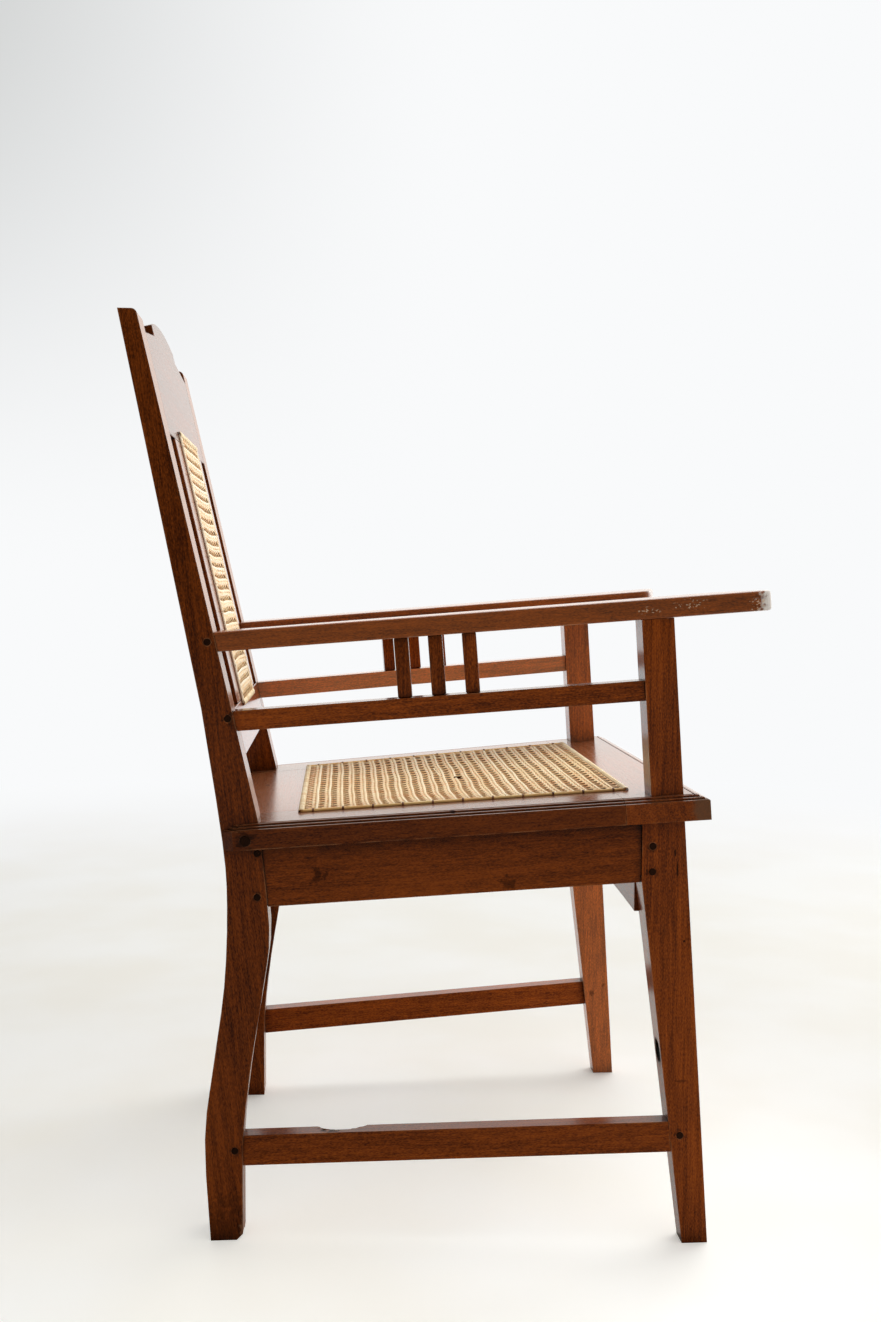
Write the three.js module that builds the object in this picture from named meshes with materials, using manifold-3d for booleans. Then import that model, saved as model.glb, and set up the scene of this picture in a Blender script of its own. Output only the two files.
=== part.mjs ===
// A planter's armchair in teak: raked back, caned seat and back, long flat arms on slatted sides.
// Lengths are millimetres. +X is the sitter's left, the chair faces -Y, +Z is up, the floor is Z = 0.
// "Forward" is measured from the line where the side aprons meet the rear posts.
import * as THREE from 'three';
import { mergeVertices } from 'three/addons/utils/BufferGeometryUtils.js';
import Module from 'manifold-3d';

const wasm = await Module();
wasm.setup();

// Fits
const clearance = 0.3;
const overrun = 4;
const weldTolerance = 0.0001;

// Plan of the side frames
const backWidth = 442;
const apronRun = 375;

// Rear posts, each sawn in one piece from foot to top
const postHeight = 943;
const postSweep = 148;
const postThickness = 42;
const postTopRound = 5;

// The post's back and front edges, each as foot, ankle, knee, seat and top: share of height, share of sweep
const heelShares = [
  [0, 0.405], [0.112, 0.443], [0.198, 0.38], [0.28, 0.308],
  [0.367, 0.287], [0.438, 0.318], [0.58, 0.457], [1, 1],
];
const shinShares = [
  [0, 0.184], [0.077, 0.186], [0.126, 0.176], [0.198, 0.122],
  [0.28, 0.04], [0.344, 0], [0.462, 0.079], [1, 0.878],
];

// Crest rail, measured along the rake, down or up from the posts' top
const crestThickness = 16;
const crestFootDrop = 120.1;
const crestShoulderDrop = 15.6;
const crestStepDrop = 3.6;
const crestStepRise = 8.4;
const crestCrownRise = 20.4;
const crestStepHalf = 92;

// Lower back rail and stiles, measured up the rake from just above the seat
const backDatumRise = 3.5;
const lowerRailThickness = 18;
const lowerRailBottom = 61.5;
const lowerRailTop = 112;
const stileThickness = 16;
const stileInner = 71;
const stileOuter = 134;

// Seat boards
const seatHeight = 432.5;
const seatPitch = THREE.MathUtils.degToRad(4.35);
const boardThickness = 25;
const boardOverhang = 14;
const sideBoardRearWidth = 74.9;
const sideBoardFrontWidth = 76.8;
const rearBoardFront = 44;
const frontBoardDepth = 84;
const frontBoardNose = 65;
const frontBoardFront = apronRun + frontBoardNose;
const frontBoardRear = frontBoardFront - frontBoardDepth;
const rearCornerCut = 11;
const reedCount = 3;
const reedWidth = 4.2;
const reedDepth = 1.2;
const reedDrop = 2.2;

// Aprons
const apronHeight = 61.5;
const apronThickness = 22;
const apronSetBack = 1.5;
const frontApronDepth = 99;
const frontApronThickness = 28;
const frontApronArch = 6;
const rearApronSetIn = 8;

// Front legs, each in one piece from foot to arm
const frontLegHalfWidth = 256;
const frontLegThickness = 34;
const armPostThickness = 30;
const armPostDepth = 33;
const frontLegFootDepth = 26.5;
const frontLegFootThickness = 22;
const frontLegBlockDepth = 43.5;
const frontLegLean = 0.0688;

// Side stretchers
const stretcherBottom = 77.5;
const stretcherHeight = 31.5;
const stretcherThickness = 17.5;
const stretcherPitch = THREE.MathUtils.degToRad(2.6);

// Arms
const armRise = 196.2;
const armTop = seatHeight + armRise;
const armPitch = THREE.MathUtils.degToRad(4.68);
const armThickness = 20;
const armNose = 133;
const armTip = apronRun + armNose;
const armOverhang = 4;
const armRearWidth = 75;
const armFrontWidth = 114;
const armNoseSlant = 40;
const armCornerRadius = 18;
const armEasing = 2.5;

// Rails and slats under the arms
const armRailDrop = 81.2;
const armRailTop = armTop - armRailDrop;
const armRailHeight = 20.5;
const armRailThickness = 24;
const slatCount = 3;
const slatPitch = 34.4;
const slatWidth = 14.5;
const slatThickness = 12;

// Joints
const tenonThickness = 8;
const tenonLength = 22;
const tenonShoulder = 7;
const frameTenonLength = 14;
const stubLength = 8;
const pegRadius = 3.4;
const pegLength = 22;
const pegProud = 0.4;
const apronPegSpread = 45;
const apronPegInset = 7.5;
const apronPegRise = 2.4;
const legPegSpread = 26;
const legPegInset = 10.8;
const legPegDrop = 7.6;
const stretcherPegInset = 8;
const stretcherPegRise = 2.5;
const railPegInset = 6;
const plugRadius = 5.2;
const plugAdvance = 7;
const plugDropShare = 0.66;

// Cane
const seatCaneMargin = 16;
const backCaneSideMargin = 14;
const backCaneTopMargin = 12;
const backCaneFootMargin = 7;
const caneThickness = 1.6;
const seatColumns = 14;
const seatRows = 12;
const backColumns = 6;
const backRows = 11;
const caneOpenShare = 0.62;
const bindingWidth = 6;
const bindingThickness = 1.2;

// Colours
const teak = { color: 0x6b3a22, roughness: 0.42, metalness: 0 };
const darkTeak = { color: 0x4a2616, roughness: 0.5, metalness: 0 };
const caneStraw = { color: 0xd9b878, roughness: 0.55, metalness: 0 };

// Solids
function toSolid(geometry) {
  geometry.deleteAttribute('normal');
  geometry.deleteAttribute('uv');
  const merged = mergeVertices(geometry, weldTolerance);
  return new wasm.Manifold(new wasm.Mesh({
    numProp: 3,
    vertProperties: new Float32Array(merged.attributes.position.array),
    triVerts: new Uint32Array(merged.index.array),
  }));
}

function toGeometry(solid) {
  const mesh = solid.getMesh();
  const geometry = new THREE.BufferGeometry();
  geometry.setAttribute('position', new THREE.BufferAttribute(new Float32Array(mesh.vertProperties), 3));
  geometry.setIndex(new THREE.BufferAttribute(new Uint32Array(mesh.triVerts), 1));
  return geometry;
}

function joined(solid, others) {
  return others.reduce((whole, other) => whole.add(other), solid);
}

function cutBy(solid, others) {
  return others.reduce((whole, other) => whole.subtract(other), solid);
}

function polygon(points) {
  return new THREE.Shape(points.map(([x, y]) => new THREE.Vector2(x, y)));
}

// A shape's slab from one depth to another, in the given frame
function slab(frame, shape, from, to) {
  return easedSlab(frame, shape, from, to, 0);
}

// The same slab with its arrises rounded
function easedSlab(frame, shape, from, to, easing) {
  const geometry = new THREE.ExtrudeGeometry(shape, {
    depth: to - from - 2 * easing,
    bevelEnabled: easing > 0,
    bevelThickness: easing,
    bevelSize: easing,
    bevelOffset: -easing,
    bevelSegments: 2,
    curveSegments: 10,
  });
  geometry.translate(0, 0, from + easing);
  geometry.applyMatrix4(frame);
  return toSolid(geometry);
}

function block(frame, [x0, x1], [y0, y1], [z0, z1]) {
  return slab(frame, polygon([[x0, y0], [x1, y0], [x1, y1], [x0, y1]]), z0, z1);
}

// A tenon and the socket that takes it, from the same ranges
function tenonJoint(frame, along, across, deep) {
  const loose = ([low, high]) => [low - clearance, high + clearance];
  return {
    tenon: block(frame, along, across, deep),
    socket: block(frame, loose(along), loose(across), loose(deep)),
  };
}

// Frames. Each side frame is drawn on the sitter's right: x runs forward, y up, z outward.
const sideAxes = new THREE.Matrix4().makeBasis(
  new THREE.Vector3(0, -1, 0),
  new THREE.Vector3(0, 0, 1),
  new THREE.Vector3(-1, 0, 0),
);

// The side frames spread from the rear posts' outer faces to the front legs' outer faces
const splayAngle = Math.atan2(frontLegHalfWidth - backWidth / 2, apronRun + frontLegThickness / 2);

const splayFrame = new THREE.Matrix4()
  .makeTranslation(-backWidth / 2, 0, 0)
  .multiply(new THREE.Matrix4().makeRotationZ(-splayAngle))
  .multiply(sideAxes);

function pitchedFrame(base, height, pitch) {
  return base.clone()
    .multiply(new THREE.Matrix4().makeTranslation(0, height, 0))
    .multiply(new THREE.Matrix4().makeRotationZ(pitch));
}

// Seat frame: x to the sitter's right, y forward up the pitch, z square to the boards, 0 at their top
const seatFrame = new THREE.Matrix4()
  .makeTranslation(0, 0, seatHeight)
  .multiply(new THREE.Matrix4().makeRotationZ(Math.PI))
  .multiply(new THREE.Matrix4().makeRotationX(seatPitch));

const apronFrame = pitchedFrame(splayFrame, seatHeight, seatPitch);
const armFrame = pitchedFrame(splayFrame, armTop, armPitch);
const armRailFrame = pitchedFrame(splayFrame, armRailTop, armPitch);
const stretcherFrame = pitchedFrame(splayFrame, stretcherBottom, stretcherPitch);

// Rear post outline
function edgePoints(shares) {
  const rough = shares.map(([up, back]) => new THREE.Vector2(-back * postSweep, up * postHeight));
  const straightFrom = rough.length - 2;
  const curve = new THREE.SplineCurve(rough.slice(0, straightFrom + 1));
  return [...curve.getPoints(straightFrom * 3), rough[straightFrom + 1]];
}

const heelPoints = edgePoints(heelShares);
const shinPoints = edgePoints(shinShares);

function edgeAt(points, height) {
  const above = Math.max(1, points.findIndex((point) => point.y >= height));
  const [low, high] = [points[above - 1], points[above]];
  const share = (height - low.y) / (high.y - low.y);
  return low.x + share * (high.x - low.x);
}

const postFrontAt = (height) => edgeAt(shinPoints, height);
const postBackAt = (height) => edgeAt(heelPoints, height);

const backDatumHeight = seatHeight + backDatumRise;
const backRake = Math.atan2(
  postFrontAt(backDatumHeight) - postFrontAt(postHeight),
  postHeight - backDatumHeight,
);

// The crest rail's heights up the rake
const backReach = (postHeight - backDatumHeight) / Math.cos(backRake);
const crestBottom = backReach - crestFootDrop;
const crestShoulderEnd = backReach - crestShoulderDrop;
const crestShoulderStep = backReach - crestStepDrop;
const crestStepTop = backReach + crestStepRise;
const crestCrown = backReach + crestCrownRise;

// Back frame: x to the sitter's left, y up the rake, z forward, 0 on the posts' front face
const backFrame = new THREE.Matrix4()
  .makeTranslation(0, -postFrontAt(backDatumHeight), backDatumHeight)
  .multiply(new THREE.Matrix4().makeRotationX(Math.PI / 2 - backRake));

const postInner = backWidth / 2 - postThickness;

function rearPostShape(growth) {
  const front = shinPoints.map((point) => [point.x + growth, point.y]);
  const back = heelPoints.map((point) => [point.x - growth, point.y]).reverse();
  const shape = polygon(front.slice(0, -1));
  const [topFrontX, topFrontY] = front.at(-1);
  const rounding = growth > 0 ? 0 : postTopRound;
  shape.lineTo(topFrontX + rounding * Math.tan(backRake), topFrontY - rounding);
  shape.quadraticCurveTo(topFrontX, topFrontY, topFrontX - rounding, topFrontY);
  back.forEach(([x, y]) => shape.lineTo(x, y));
  return shape;
}

function rearPostBlank(growth) {
  return slab(sideAxes, rearPostShape(growth), postInner - growth, backWidth / 2 + growth);
}

// Everything behind the post's front edge, which trims the pieces that butt on it
function behindPost() {
  const front = shinPoints.map((point) => [point.x + clearance, point.y]);
  const far = -postSweep * 2;
  return slab(sideAxes, polygon([[far, 0], ...front, [far, postHeight]]), 0, backWidth);
}

// Front leg outline
const frontLegInner = frontLegHalfWidth - frontLegThickness;
const legFrontAt = (height) => apronRun + frontLegBlockDepth + frontLegLean * (seatHeight - height);
const legBlockBottom = seatHeight + apronRun * Math.tan(seatPitch) - boardThickness - apronHeight;
const legBackAt = (height) => {
  const footBack = legFrontAt(0) - frontLegFootDepth;
  return height > legBlockBottom ? apronRun : footBack + (apronRun - footBack) * (height / legBlockBottom);
};
const armPostBackAt = (height) => legFrontAt(height) - armPostDepth;
const armHeightAt = (forward) => armTop + forward * Math.tan(armPitch);

function frontLegShape() {
  const top = seatHeight + legFrontAt(seatHeight) * Math.tan(seatPitch);
  return polygon([
    [legBackAt(0), 0], [legFrontAt(0), 0], [legFrontAt(top), top],
    [apronRun, top], [apronRun, legBlockBottom],
  ]);
}

// Seen from the front: the leg's inner face tapers from the aprons down to the foot
function frontLegFace() {
  const frame = new THREE.Matrix4().makeRotationX(Math.PI / 2);
  const footInner = frontLegHalfWidth - frontLegFootThickness;
  const shape = polygon([
    [-frontLegHalfWidth, 0], [-footInner, 0], [-frontLegInner, legBlockBottom],
    [-frontLegInner, armTop], [-frontLegHalfWidth, armTop],
  ]);
  return slab(frame, shape, 0, armTip * 2);
}

function armPostShape(growth, bottom, top) {
  return polygon([
    [armPostBackAt(bottom) - growth, bottom], [legFrontAt(bottom) + growth, bottom],
    [legFrontAt(top) + growth, top], [armPostBackAt(top) - growth, top],
  ]);
}

// Everything ahead of the leg's back edge up to the seat, and of the arm post's back edge above it
function aheadOfLeg() {
  const far = armTip * 2;
  const shape = polygon([
    [legBackAt(0) - clearance, 0], [far, 0], [far, armTop],
    [apronRun - clearance, armTop], [apronRun - clearance, legBlockBottom],
  ]);
  return slab(sideAxes, shape, 0, backWidth);
}

function aheadOfArmPost() {
  const far = armTip * 2;
  const [low, high] = [seatHeight, armTop + armTip];
  const shape = polygon([
    [armPostBackAt(low) - clearance, low], [far, low], [far, high], [armPostBackAt(high) - clearance, high],
  ]);
  return slab(sideAxes, shape, 0, backWidth);
}

// Joints of the side frame: where each bar's tenons lie, in the bar's own frame
function sideTenons(frame, shoulders, across, outerFace, thickness, length) {
  const centre = outerFace - thickness / 2;
  const deep = [centre - tenonThickness / 2, centre + tenonThickness / 2];
  const [rear, front] = shoulders;
  return {
    rear: tenonJoint(frame, [rear - length, rear + overrun], across, deep),
    front: tenonJoint(frame, [front - overrun, front + length], across, deep),
  };
}

const seatUnderside = -boardThickness - clearance;
const apronAcross = [seatUnderside - apronHeight + tenonShoulder, seatUnderside - tenonShoulder];
const apronShoulders = [postFrontAt(seatHeight - boardThickness - apronHeight / 2), apronRun];
const apronJoints = sideTenons(
  apronFrame, apronShoulders, apronAcross, -apronSetBack, apronThickness, tenonLength,
);

const stretcherMiddle = stretcherBottom + stretcherHeight / 2;
const stretcherFrontHeight = stretcherMiddle + apronRun * Math.tan(stretcherPitch);
const stretcherShoulders = [
  postFrontAt(stretcherMiddle) / Math.cos(stretcherPitch),
  legBackAt(stretcherFrontHeight) / Math.cos(stretcherPitch) / Math.cos(splayAngle),
];
const stretcherAcross = [tenonShoulder, stretcherHeight - tenonShoulder];
const stretcherJoints = sideTenons(
  stretcherFrame, stretcherShoulders, stretcherAcross, -apronSetBack, stretcherThickness, frameTenonLength,
);

const armRailMiddle = armRailTop - armRailHeight / 2;
const armRailFrontHeight = armRailMiddle + apronRun * Math.tan(armPitch);
const armRailShoulders = [
  postFrontAt(armRailMiddle) / Math.cos(armPitch),
  armPostBackAt(armRailFrontHeight) / Math.cos(armPitch) / Math.cos(splayAngle),
];
const armRailAcross = [-armRailHeight + tenonShoulder / 2, -tenonShoulder / 2];
const armRailJoints = sideTenons(
  armRailFrame, armRailShoulders, armRailAcross, -apronSetBack, armRailThickness, frameTenonLength,
);

// The arm's own tenon goes into the rear post
const armShoulder = postFrontAt(armTop - armThickness / 2) / Math.cos(armPitch);
const armRearJoint = tenonJoint(
  armFrame,
  [armShoulder - frameTenonLength, armShoulder + overrun],
  [-armThickness + tenonShoulder / 2, -tenonShoulder / 2],
  [-postThickness / 2 - tenonThickness / 2, -postThickness / 2 + tenonThickness / 2],
);

// The front post's top tenon goes up into the arm
function armTopJoint() {
  const middle = (armPostBackAt(armTop) + legFrontAt(armTop)) / 2;
  const underside = armHeightAt(middle) - armThickness;
  const half = armPostDepth / 2 - tenonShoulder;
  const outer = frontLegHalfWidth - tenonShoulder;
  return tenonJoint(
    sideAxes,
    [middle - half, middle + half],
    [underside - overrun, underside + armThickness / 2],
    [outer - (armPostThickness - 2 * tenonShoulder), outer],
  );
}
const armPostJoint = armTopJoint();

// Joints of the back frame, on the sitter's right
function backJoint(bottom, top, thickness, length) {
  const deep = [-thickness / 2 - tenonThickness / 2, -thickness / 2 + tenonThickness / 2];
  return tenonJoint(backFrame, [-postInner - length, -postInner + overrun], [bottom, top], deep);
}
const crestJoint = backJoint(
  crestBottom + tenonShoulder, crestShoulderEnd - tenonShoulder, crestThickness, frameTenonLength,
);
const lowerRailJoint = backJoint(
  lowerRailBottom + tenonShoulder, lowerRailTop - tenonShoulder, lowerRailThickness, frameTenonLength,
);

function stileJoint(edge, direction) {
  const deep = [-stileThickness / 2 - tenonThickness / 2, -stileThickness / 2 + tenonThickness / 2];
  const along = [-stileOuter + tenonShoulder, -stileInner - tenonShoulder];
  const ends = [edge - direction * overrun, edge + direction * frameTenonLength];
  return tenonJoint(backFrame, along, ends.sort((a, b) => a - b), deep);
}
const stileTopJoint = stileJoint(crestBottom, 1);
const stileFootJoint = stileJoint(lowerRailTop, -1);

// Joints of the front and rear aprons, on the sitter's right
const frontApronBack = apronRun;
const undersideAt = (forward) => (
  seatHeight + forward * Math.tan(seatPitch) + seatUnderside / Math.cos(seatPitch)
);
const frontApronTop = undersideAt(frontApronBack);
const frontApronJoint = tenonJoint(
  sideAxes,
  [
    frontApronBack + frontApronThickness / 2 - tenonThickness / 2,
    frontApronBack + frontApronThickness / 2 + tenonThickness / 2,
  ],
  [frontApronTop - frontApronDepth + 2 * tenonShoulder, frontApronTop - 2 * tenonShoulder],
  [frontLegInner - overrun, frontLegInner + frameTenonLength - overrun],
);

const rearApronFront = postFrontAt(seatHeight - boardThickness - apronHeight) - rearApronSetIn;
const rearApronTop = undersideAt(rearApronFront - apronThickness);
const rearApronJoint = tenonJoint(
  sideAxes,
  [
    rearApronFront - apronThickness / 2 - tenonThickness / 2,
    rearApronFront - apronThickness / 2 + tenonThickness / 2,
  ],
  [rearApronTop - apronHeight + tenonShoulder, rearApronTop - tenonShoulder],
  [postInner - overrun, postInner + frameTenonLength],
);

// Pegs run straight in from the outer face of a post or leg
function pegAt(name, radius, forward, height, outerFace) {
  const rod = (grown, length) => {
    const geometry = new THREE.CylinderGeometry(grown, grown, length, 12);
    geometry.rotateZ(Math.PI / 2);
    return geometry;
  };
  const centreX = -outerFace - pegProud + pegLength / 2;
  const pin = rod(radius, pegLength);
  const hole = rod(radius + clearance, pegLength + 2 * clearance);
  hole.translate(centreX, -forward, height);
  return { name, geometry: pin, position: [centreX, -forward, height], hole: toSolid(hole) };
}

const apronMiddleAt = (forward) => undersideAt(forward) - apronHeight / 2;
const apronPegForward = apronShoulders[0] - apronPegInset;
const apronPegMiddle = apronMiddleAt(apronPegForward) + apronPegRise;
const legPegForward = apronRun + legPegInset;
const legPegMiddle = apronMiddleAt(legPegForward) - legPegDrop;
const rearStretcherPegForward = stretcherShoulders[0] - stretcherPegInset;
const frontStretcherPegForward = stretcherShoulders[1] + stretcherPegInset;
const frontStretcherPegHeight = stretcherFrontHeight + stretcherPegRise;

function pegPair(name, forward, middle, spread, outerFace) {
  return [['upper', spread / 2], ['lower', -spread / 2]].map(([place, rise]) => (
    pegAt(`${name}_${place}`, pegRadius, forward, middle + rise, outerFace)
  ));
}

const apronPegs = pegPair('rear_apron_peg', apronPegForward, apronPegMiddle, apronPegSpread, backWidth / 2);
const legPegs = pegPair('front_apron_peg', legPegForward, legPegMiddle, legPegSpread, frontLegHalfWidth);
const rearStretcherPeg = pegAt(
  'rear_stretcher_peg', pegRadius, rearStretcherPegForward, stretcherMiddle, backWidth / 2,
);
const frontStretcherPeg = pegAt(
  'front_stretcher_peg', pegRadius, frontStretcherPegForward, frontStretcherPegHeight, frontLegHalfWidth,
);
const armPegHeight = armHeightAt(armShoulder) - armThickness / 2;
const armPeg = pegAt('arm_peg', pegRadius, armShoulder - frameTenonLength / 2, armPegHeight, backWidth / 2);
const railPegForward = armRailShoulders[0] - railPegInset;
const railPeg = pegAt('arm_rail_peg', pegRadius, railPegForward, armRailMiddle, backWidth / 2);
const boardPlug = pegAt(
  'seat_board_plug',
  plugRadius,
  (postFrontAt(seatHeight) + postBackAt(seatHeight)) / 2 + plugAdvance,
  seatHeight + postFrontAt(seatHeight) * Math.tan(seatPitch) - boardThickness * plugDropShare,
  backWidth / 2 + boardOverhang,
);
const pegs = [...apronPegs, ...legPegs, rearStretcherPeg, frontStretcherPeg, armPeg, railPeg, boardPlug];

// Rear post
function rearPost() {
  return cutBy(rearPostBlank(0), [
    apronJoints.rear.socket, stretcherJoints.rear.socket, armRailJoints.rear.socket, armRearJoint.socket,
    crestJoint.socket, lowerRailJoint.socket, rearApronJoint.socket,
    ...apronPegs.map((peg) => peg.hole), rearStretcherPeg.hole, armPeg.hole, railPeg.hole, boardPlug.hole,
  ]);
}

// Front leg with its arm post in one piece
function aboveSeat() {
  return block(seatFrame, [0, backWidth], [0, armTip * 2], [seatUnderside, seatUnderside + armTip]);
}

function frontLeg() {
  const blank = slab(sideAxes, frontLegShape(), frontLegInner, frontLegHalfWidth);
  const leg = blank.intersect(frontLegFace()).subtract(aboveSeat());
  const postTop = armTop + armTip;
  const stem = slab(
    sideAxes,
    armPostShape(0, seatHeight - boardThickness, postTop),
    frontLegHalfWidth - armPostThickness,
    frontLegHalfWidth,
  );
  const overArm = block(
    armFrame, [0, armTip * 2], [-armThickness - clearance, postTop], [-armTip, armTip],
  );
  const whole = joined(leg, [stem.subtract(overArm), armPostJoint.tenon]);
  return cutBy(whole, [
    apronJoints.front.socket, stretcherJoints.front.socket,
    armRailJoints.front.socket, frontApronJoint.socket,
    ...legPegs.map((peg) => peg.hole), frontStretcherPeg.hole,
  ]);
}

// Bars of the side frame
function trimmedBar(frame, along, across, thickness, joints, trims, holes) {
  const bar = block(frame, along, across, [-apronSetBack - thickness, -apronSetBack]);
  return cutBy(joined(cutBy(bar, trims), [joints.rear.tenon, joints.front.tenon]), holes);
}

function sideApron() {
  return trimmedBar(
    apronFrame, [-postSweep, apronRun * 2], [seatUnderside - apronHeight, seatUnderside], apronThickness,
    apronJoints, [behindPost(), aheadOfLeg()], [...apronPegs, ...legPegs].map((peg) => peg.hole),
  );
}

function sideStretcher() {
  return trimmedBar(
    stretcherFrame, [-postSweep, apronRun * 2], [0, stretcherHeight], stretcherThickness,
    stretcherJoints, [behindPost(), aheadOfLeg()], [rearStretcherPeg.hole, frontStretcherPeg.hole],
  );
}

const slatStations = Array.from({ length: slatCount }, (_, index) => {
  const middle = (armRailShoulders[0] + armRailShoulders[1]) / 2;
  return middle + (index - (slatCount - 1) / 2) * slatPitch;
});

const slatLow = 0;
const slatHigh = (armTop - armRailTop) * Math.cos(armPitch) - armThickness;

function slatJoint(station, bottom, top) {
  const centre = -apronSetBack - armRailThickness / 2;
  const half = slatWidth / 2 - tenonShoulder / 3;
  return tenonJoint(
    armRailFrame,
    [station - half, station + half],
    [bottom, top],
    [centre - tenonThickness / 2, centre + tenonThickness / 2],
  );
}

function slatJoints(station) {
  return {
    foot: slatJoint(station, slatLow - stubLength, slatLow + overrun),
    head: slatJoint(station, slatHigh - overrun, slatHigh + stubLength),
  };
}

function armSlat(station) {
  const centre = -apronSetBack - armRailThickness / 2;
  const body = block(
    armRailFrame,
    [station - slatWidth / 2, station + slatWidth / 2],
    [slatLow + clearance, slatHigh - clearance],
    [centre - slatThickness / 2, centre + slatThickness / 2],
  );
  const joints = slatJoints(station);
  return joined(body, [joints.foot.tenon, joints.head.tenon]);
}

function armRail() {
  return trimmedBar(
    armRailFrame, [-postSweep, apronRun * 2], [-armRailHeight, 0], armRailThickness,
    armRailJoints, [behindPost(), aheadOfArmPost()],
    [railPeg.hole, ...slatStations.map((station) => slatJoints(station).foot.socket)],
  );
}

// Arm: seen from above, straight outside, widening inside, with rounded front corners
function arm() {
  const planFrame = armFrame.clone().multiply(new THREE.Matrix4().makeRotationX(-Math.PI / 2));
  const start = -postSweep;
  const widening = armFrontWidth - armRearWidth;
  const inner = (forward) => armRearWidth - armOverhang + widening * (forward / armTip);
  const noseInner = armTip - armNoseSlant;
  const slope = armNoseSlant / armFrontWidth;
  const radius = armCornerRadius;
  const plan = new THREE.Shape();
  plan.moveTo(start, -armOverhang);
  plan.lineTo(start, inner(start));
  plan.lineTo(noseInner - radius, inner(noseInner - radius));
  plan.quadraticCurveTo(noseInner, inner(noseInner), noseInner + radius * slope, inner(noseInner) - radius);
  plan.lineTo(armTip - radius * slope, radius - armOverhang);
  plan.quadraticCurveTo(armTip, -armOverhang, armTip - radius, -armOverhang);
  const board = easedSlab(planFrame, plan, -armThickness, 0, armEasing).subtract(behindPost());
  return cutBy(board.add(armRearJoint.tenon), [
    armPostJoint.socket, armPeg.hole, ...slatStations.map((station) => slatJoints(station).head.socket),
  ]);
}

// Back
function crestShape() {
  const half = postInner - clearance;
  const shape = new THREE.Shape();
  const rise = crestCrown - crestStepTop;
  shape.moveTo(-half, crestBottom);
  shape.lineTo(half, crestBottom);
  shape.lineTo(half, crestShoulderEnd);
  shape.lineTo(crestStepHalf, crestShoulderStep);
  shape.lineTo(crestStepHalf, crestStepTop);
  shape.quadraticCurveTo(0, crestCrown + rise, -crestStepHalf, crestStepTop);
  shape.lineTo(-crestStepHalf, crestShoulderStep);
  shape.lineTo(-half, crestShoulderEnd);
  return shape;
}

function crestRail() {
  const board = slab(backFrame, crestShape(), -crestThickness, 0);
  const tenons = bothSides(crestJoint.tenon);
  return cutBy(joined(board, tenons), bothSides(stileTopJoint.socket));
}

function lowerBackRail() {
  const half = postInner - clearance;
  const board = block(backFrame, [-half, half], [lowerRailBottom, lowerRailTop], [-lowerRailThickness, 0]);
  return cutBy(joined(board, bothSides(lowerRailJoint.tenon)), bothSides(stileFootJoint.socket));
}

function backStile() {
  const body = block(
    backFrame,
    [-stileOuter, -stileInner],
    [lowerRailTop + clearance, crestBottom - clearance],
    [-stileThickness, 0],
  );
  return joined(body, [stileTopJoint.tenon, stileFootJoint.tenon]);
}

// Front and rear aprons
function frontApron() {
  const half = frontLegInner - clearance;
  const middle = frontApronTop - frontApronDepth + frontApronArch;
  const shape = new THREE.Shape();
  const acrossFrame = new THREE.Matrix4()
    .makeTranslation(0, -frontApronBack, 0)
    .multiply(new THREE.Matrix4().makeRotationX(Math.PI / 2));
  shape.moveTo(-half, frontApronTop + overrun);
  shape.lineTo(-half, frontApronTop - frontApronDepth);
  shape.quadraticCurveTo(0, middle + frontApronArch, half, frontApronTop - frontApronDepth);
  shape.lineTo(half, frontApronTop + overrun);
  const board = slab(acrossFrame, shape, 0, frontApronThickness);
  const over = block(
    seatFrame, [-backWidth, backWidth], [0, armTip * 2], [seatUnderside, seatUnderside + armTip],
  );
  return joined(board.subtract(over), bothSides(frontApronJoint.tenon));
}

function rearApron() {
  const half = postInner - clearance;
  const board = block(
    sideAxes,
    [rearApronFront - apronThickness, rearApronFront],
    [rearApronTop - apronHeight, rearApronTop],
    [-half, half],
  );
  return joined(board, bothSides(rearApronJoint.tenon));
}

// Seat boards. The reeded edge is drawn with x outward, 0 at the arris, and y up, 0 at the top.
function reededEdge(reach) {
  const points = [[-reach, -boardThickness], [0, -boardThickness]];
  const steps = 4;
  for (let reed = 0; reed < reedCount; reed += 1) {
    const outer = -reed * reedWidth;
    const level = -(reedCount - 1 - reed) * reedDrop;
    const radius = reedWidth / 2;
    for (let step = 0; step <= steps; step += 1) {
      const turn = (Math.PI * step) / steps;
      const x = outer - radius + radius * Math.cos(turn);
      points.push([x, level - reedDepth + reedDepth * Math.sin(turn)]);
    }
  }
  points.push([-reedCount * reedWidth - reedDepth, 0], [-reach, 0]);
  return polygon(points);
}

// A reeded slab whose moulded edge passes through a point and faces a heading, in the seat frame
function mouldedSlab(x, y, heading) {
  const reach = armTip * 2;
  const frame = seatFrame.clone()
    .multiply(new THREE.Matrix4().makeTranslation(x, y, 0))
    .multiply(new THREE.Matrix4().makeRotationZ(heading))
    .multiply(new THREE.Matrix4().makeRotationX(Math.PI / 2));
  return slab(frame, reededEdge(reach), -reach, reach);
}

const boardOuterAt = (forward) => backWidth / 2 + boardOverhang + forward * Math.tan(splayAngle);
const openingHalfAt = (forward) => {
  const share = (forward - rearBoardFront) / (frontBoardRear - rearBoardFront);
  const width = sideBoardRearWidth + share * (sideBoardFrontWidth - sideBoardRearWidth);
  return boardOuterAt(forward) - width;
};
const boardRear = postBackAt(seatHeight) + pegProud;

const sideMoulding = mouldedSlab(boardOuterAt(0), 0, -splayAngle);
const frontMoulding = mouldedSlab(0, frontBoardFront, Math.PI / 2);
const cornerMoulding = mouldedSlab(boardOuterAt(boardRear) - rearCornerCut, boardRear, -Math.PI / 4);

function boardPlan(points) {
  return slab(seatFrame, polygon(points), -boardThickness, 0);
}

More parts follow.
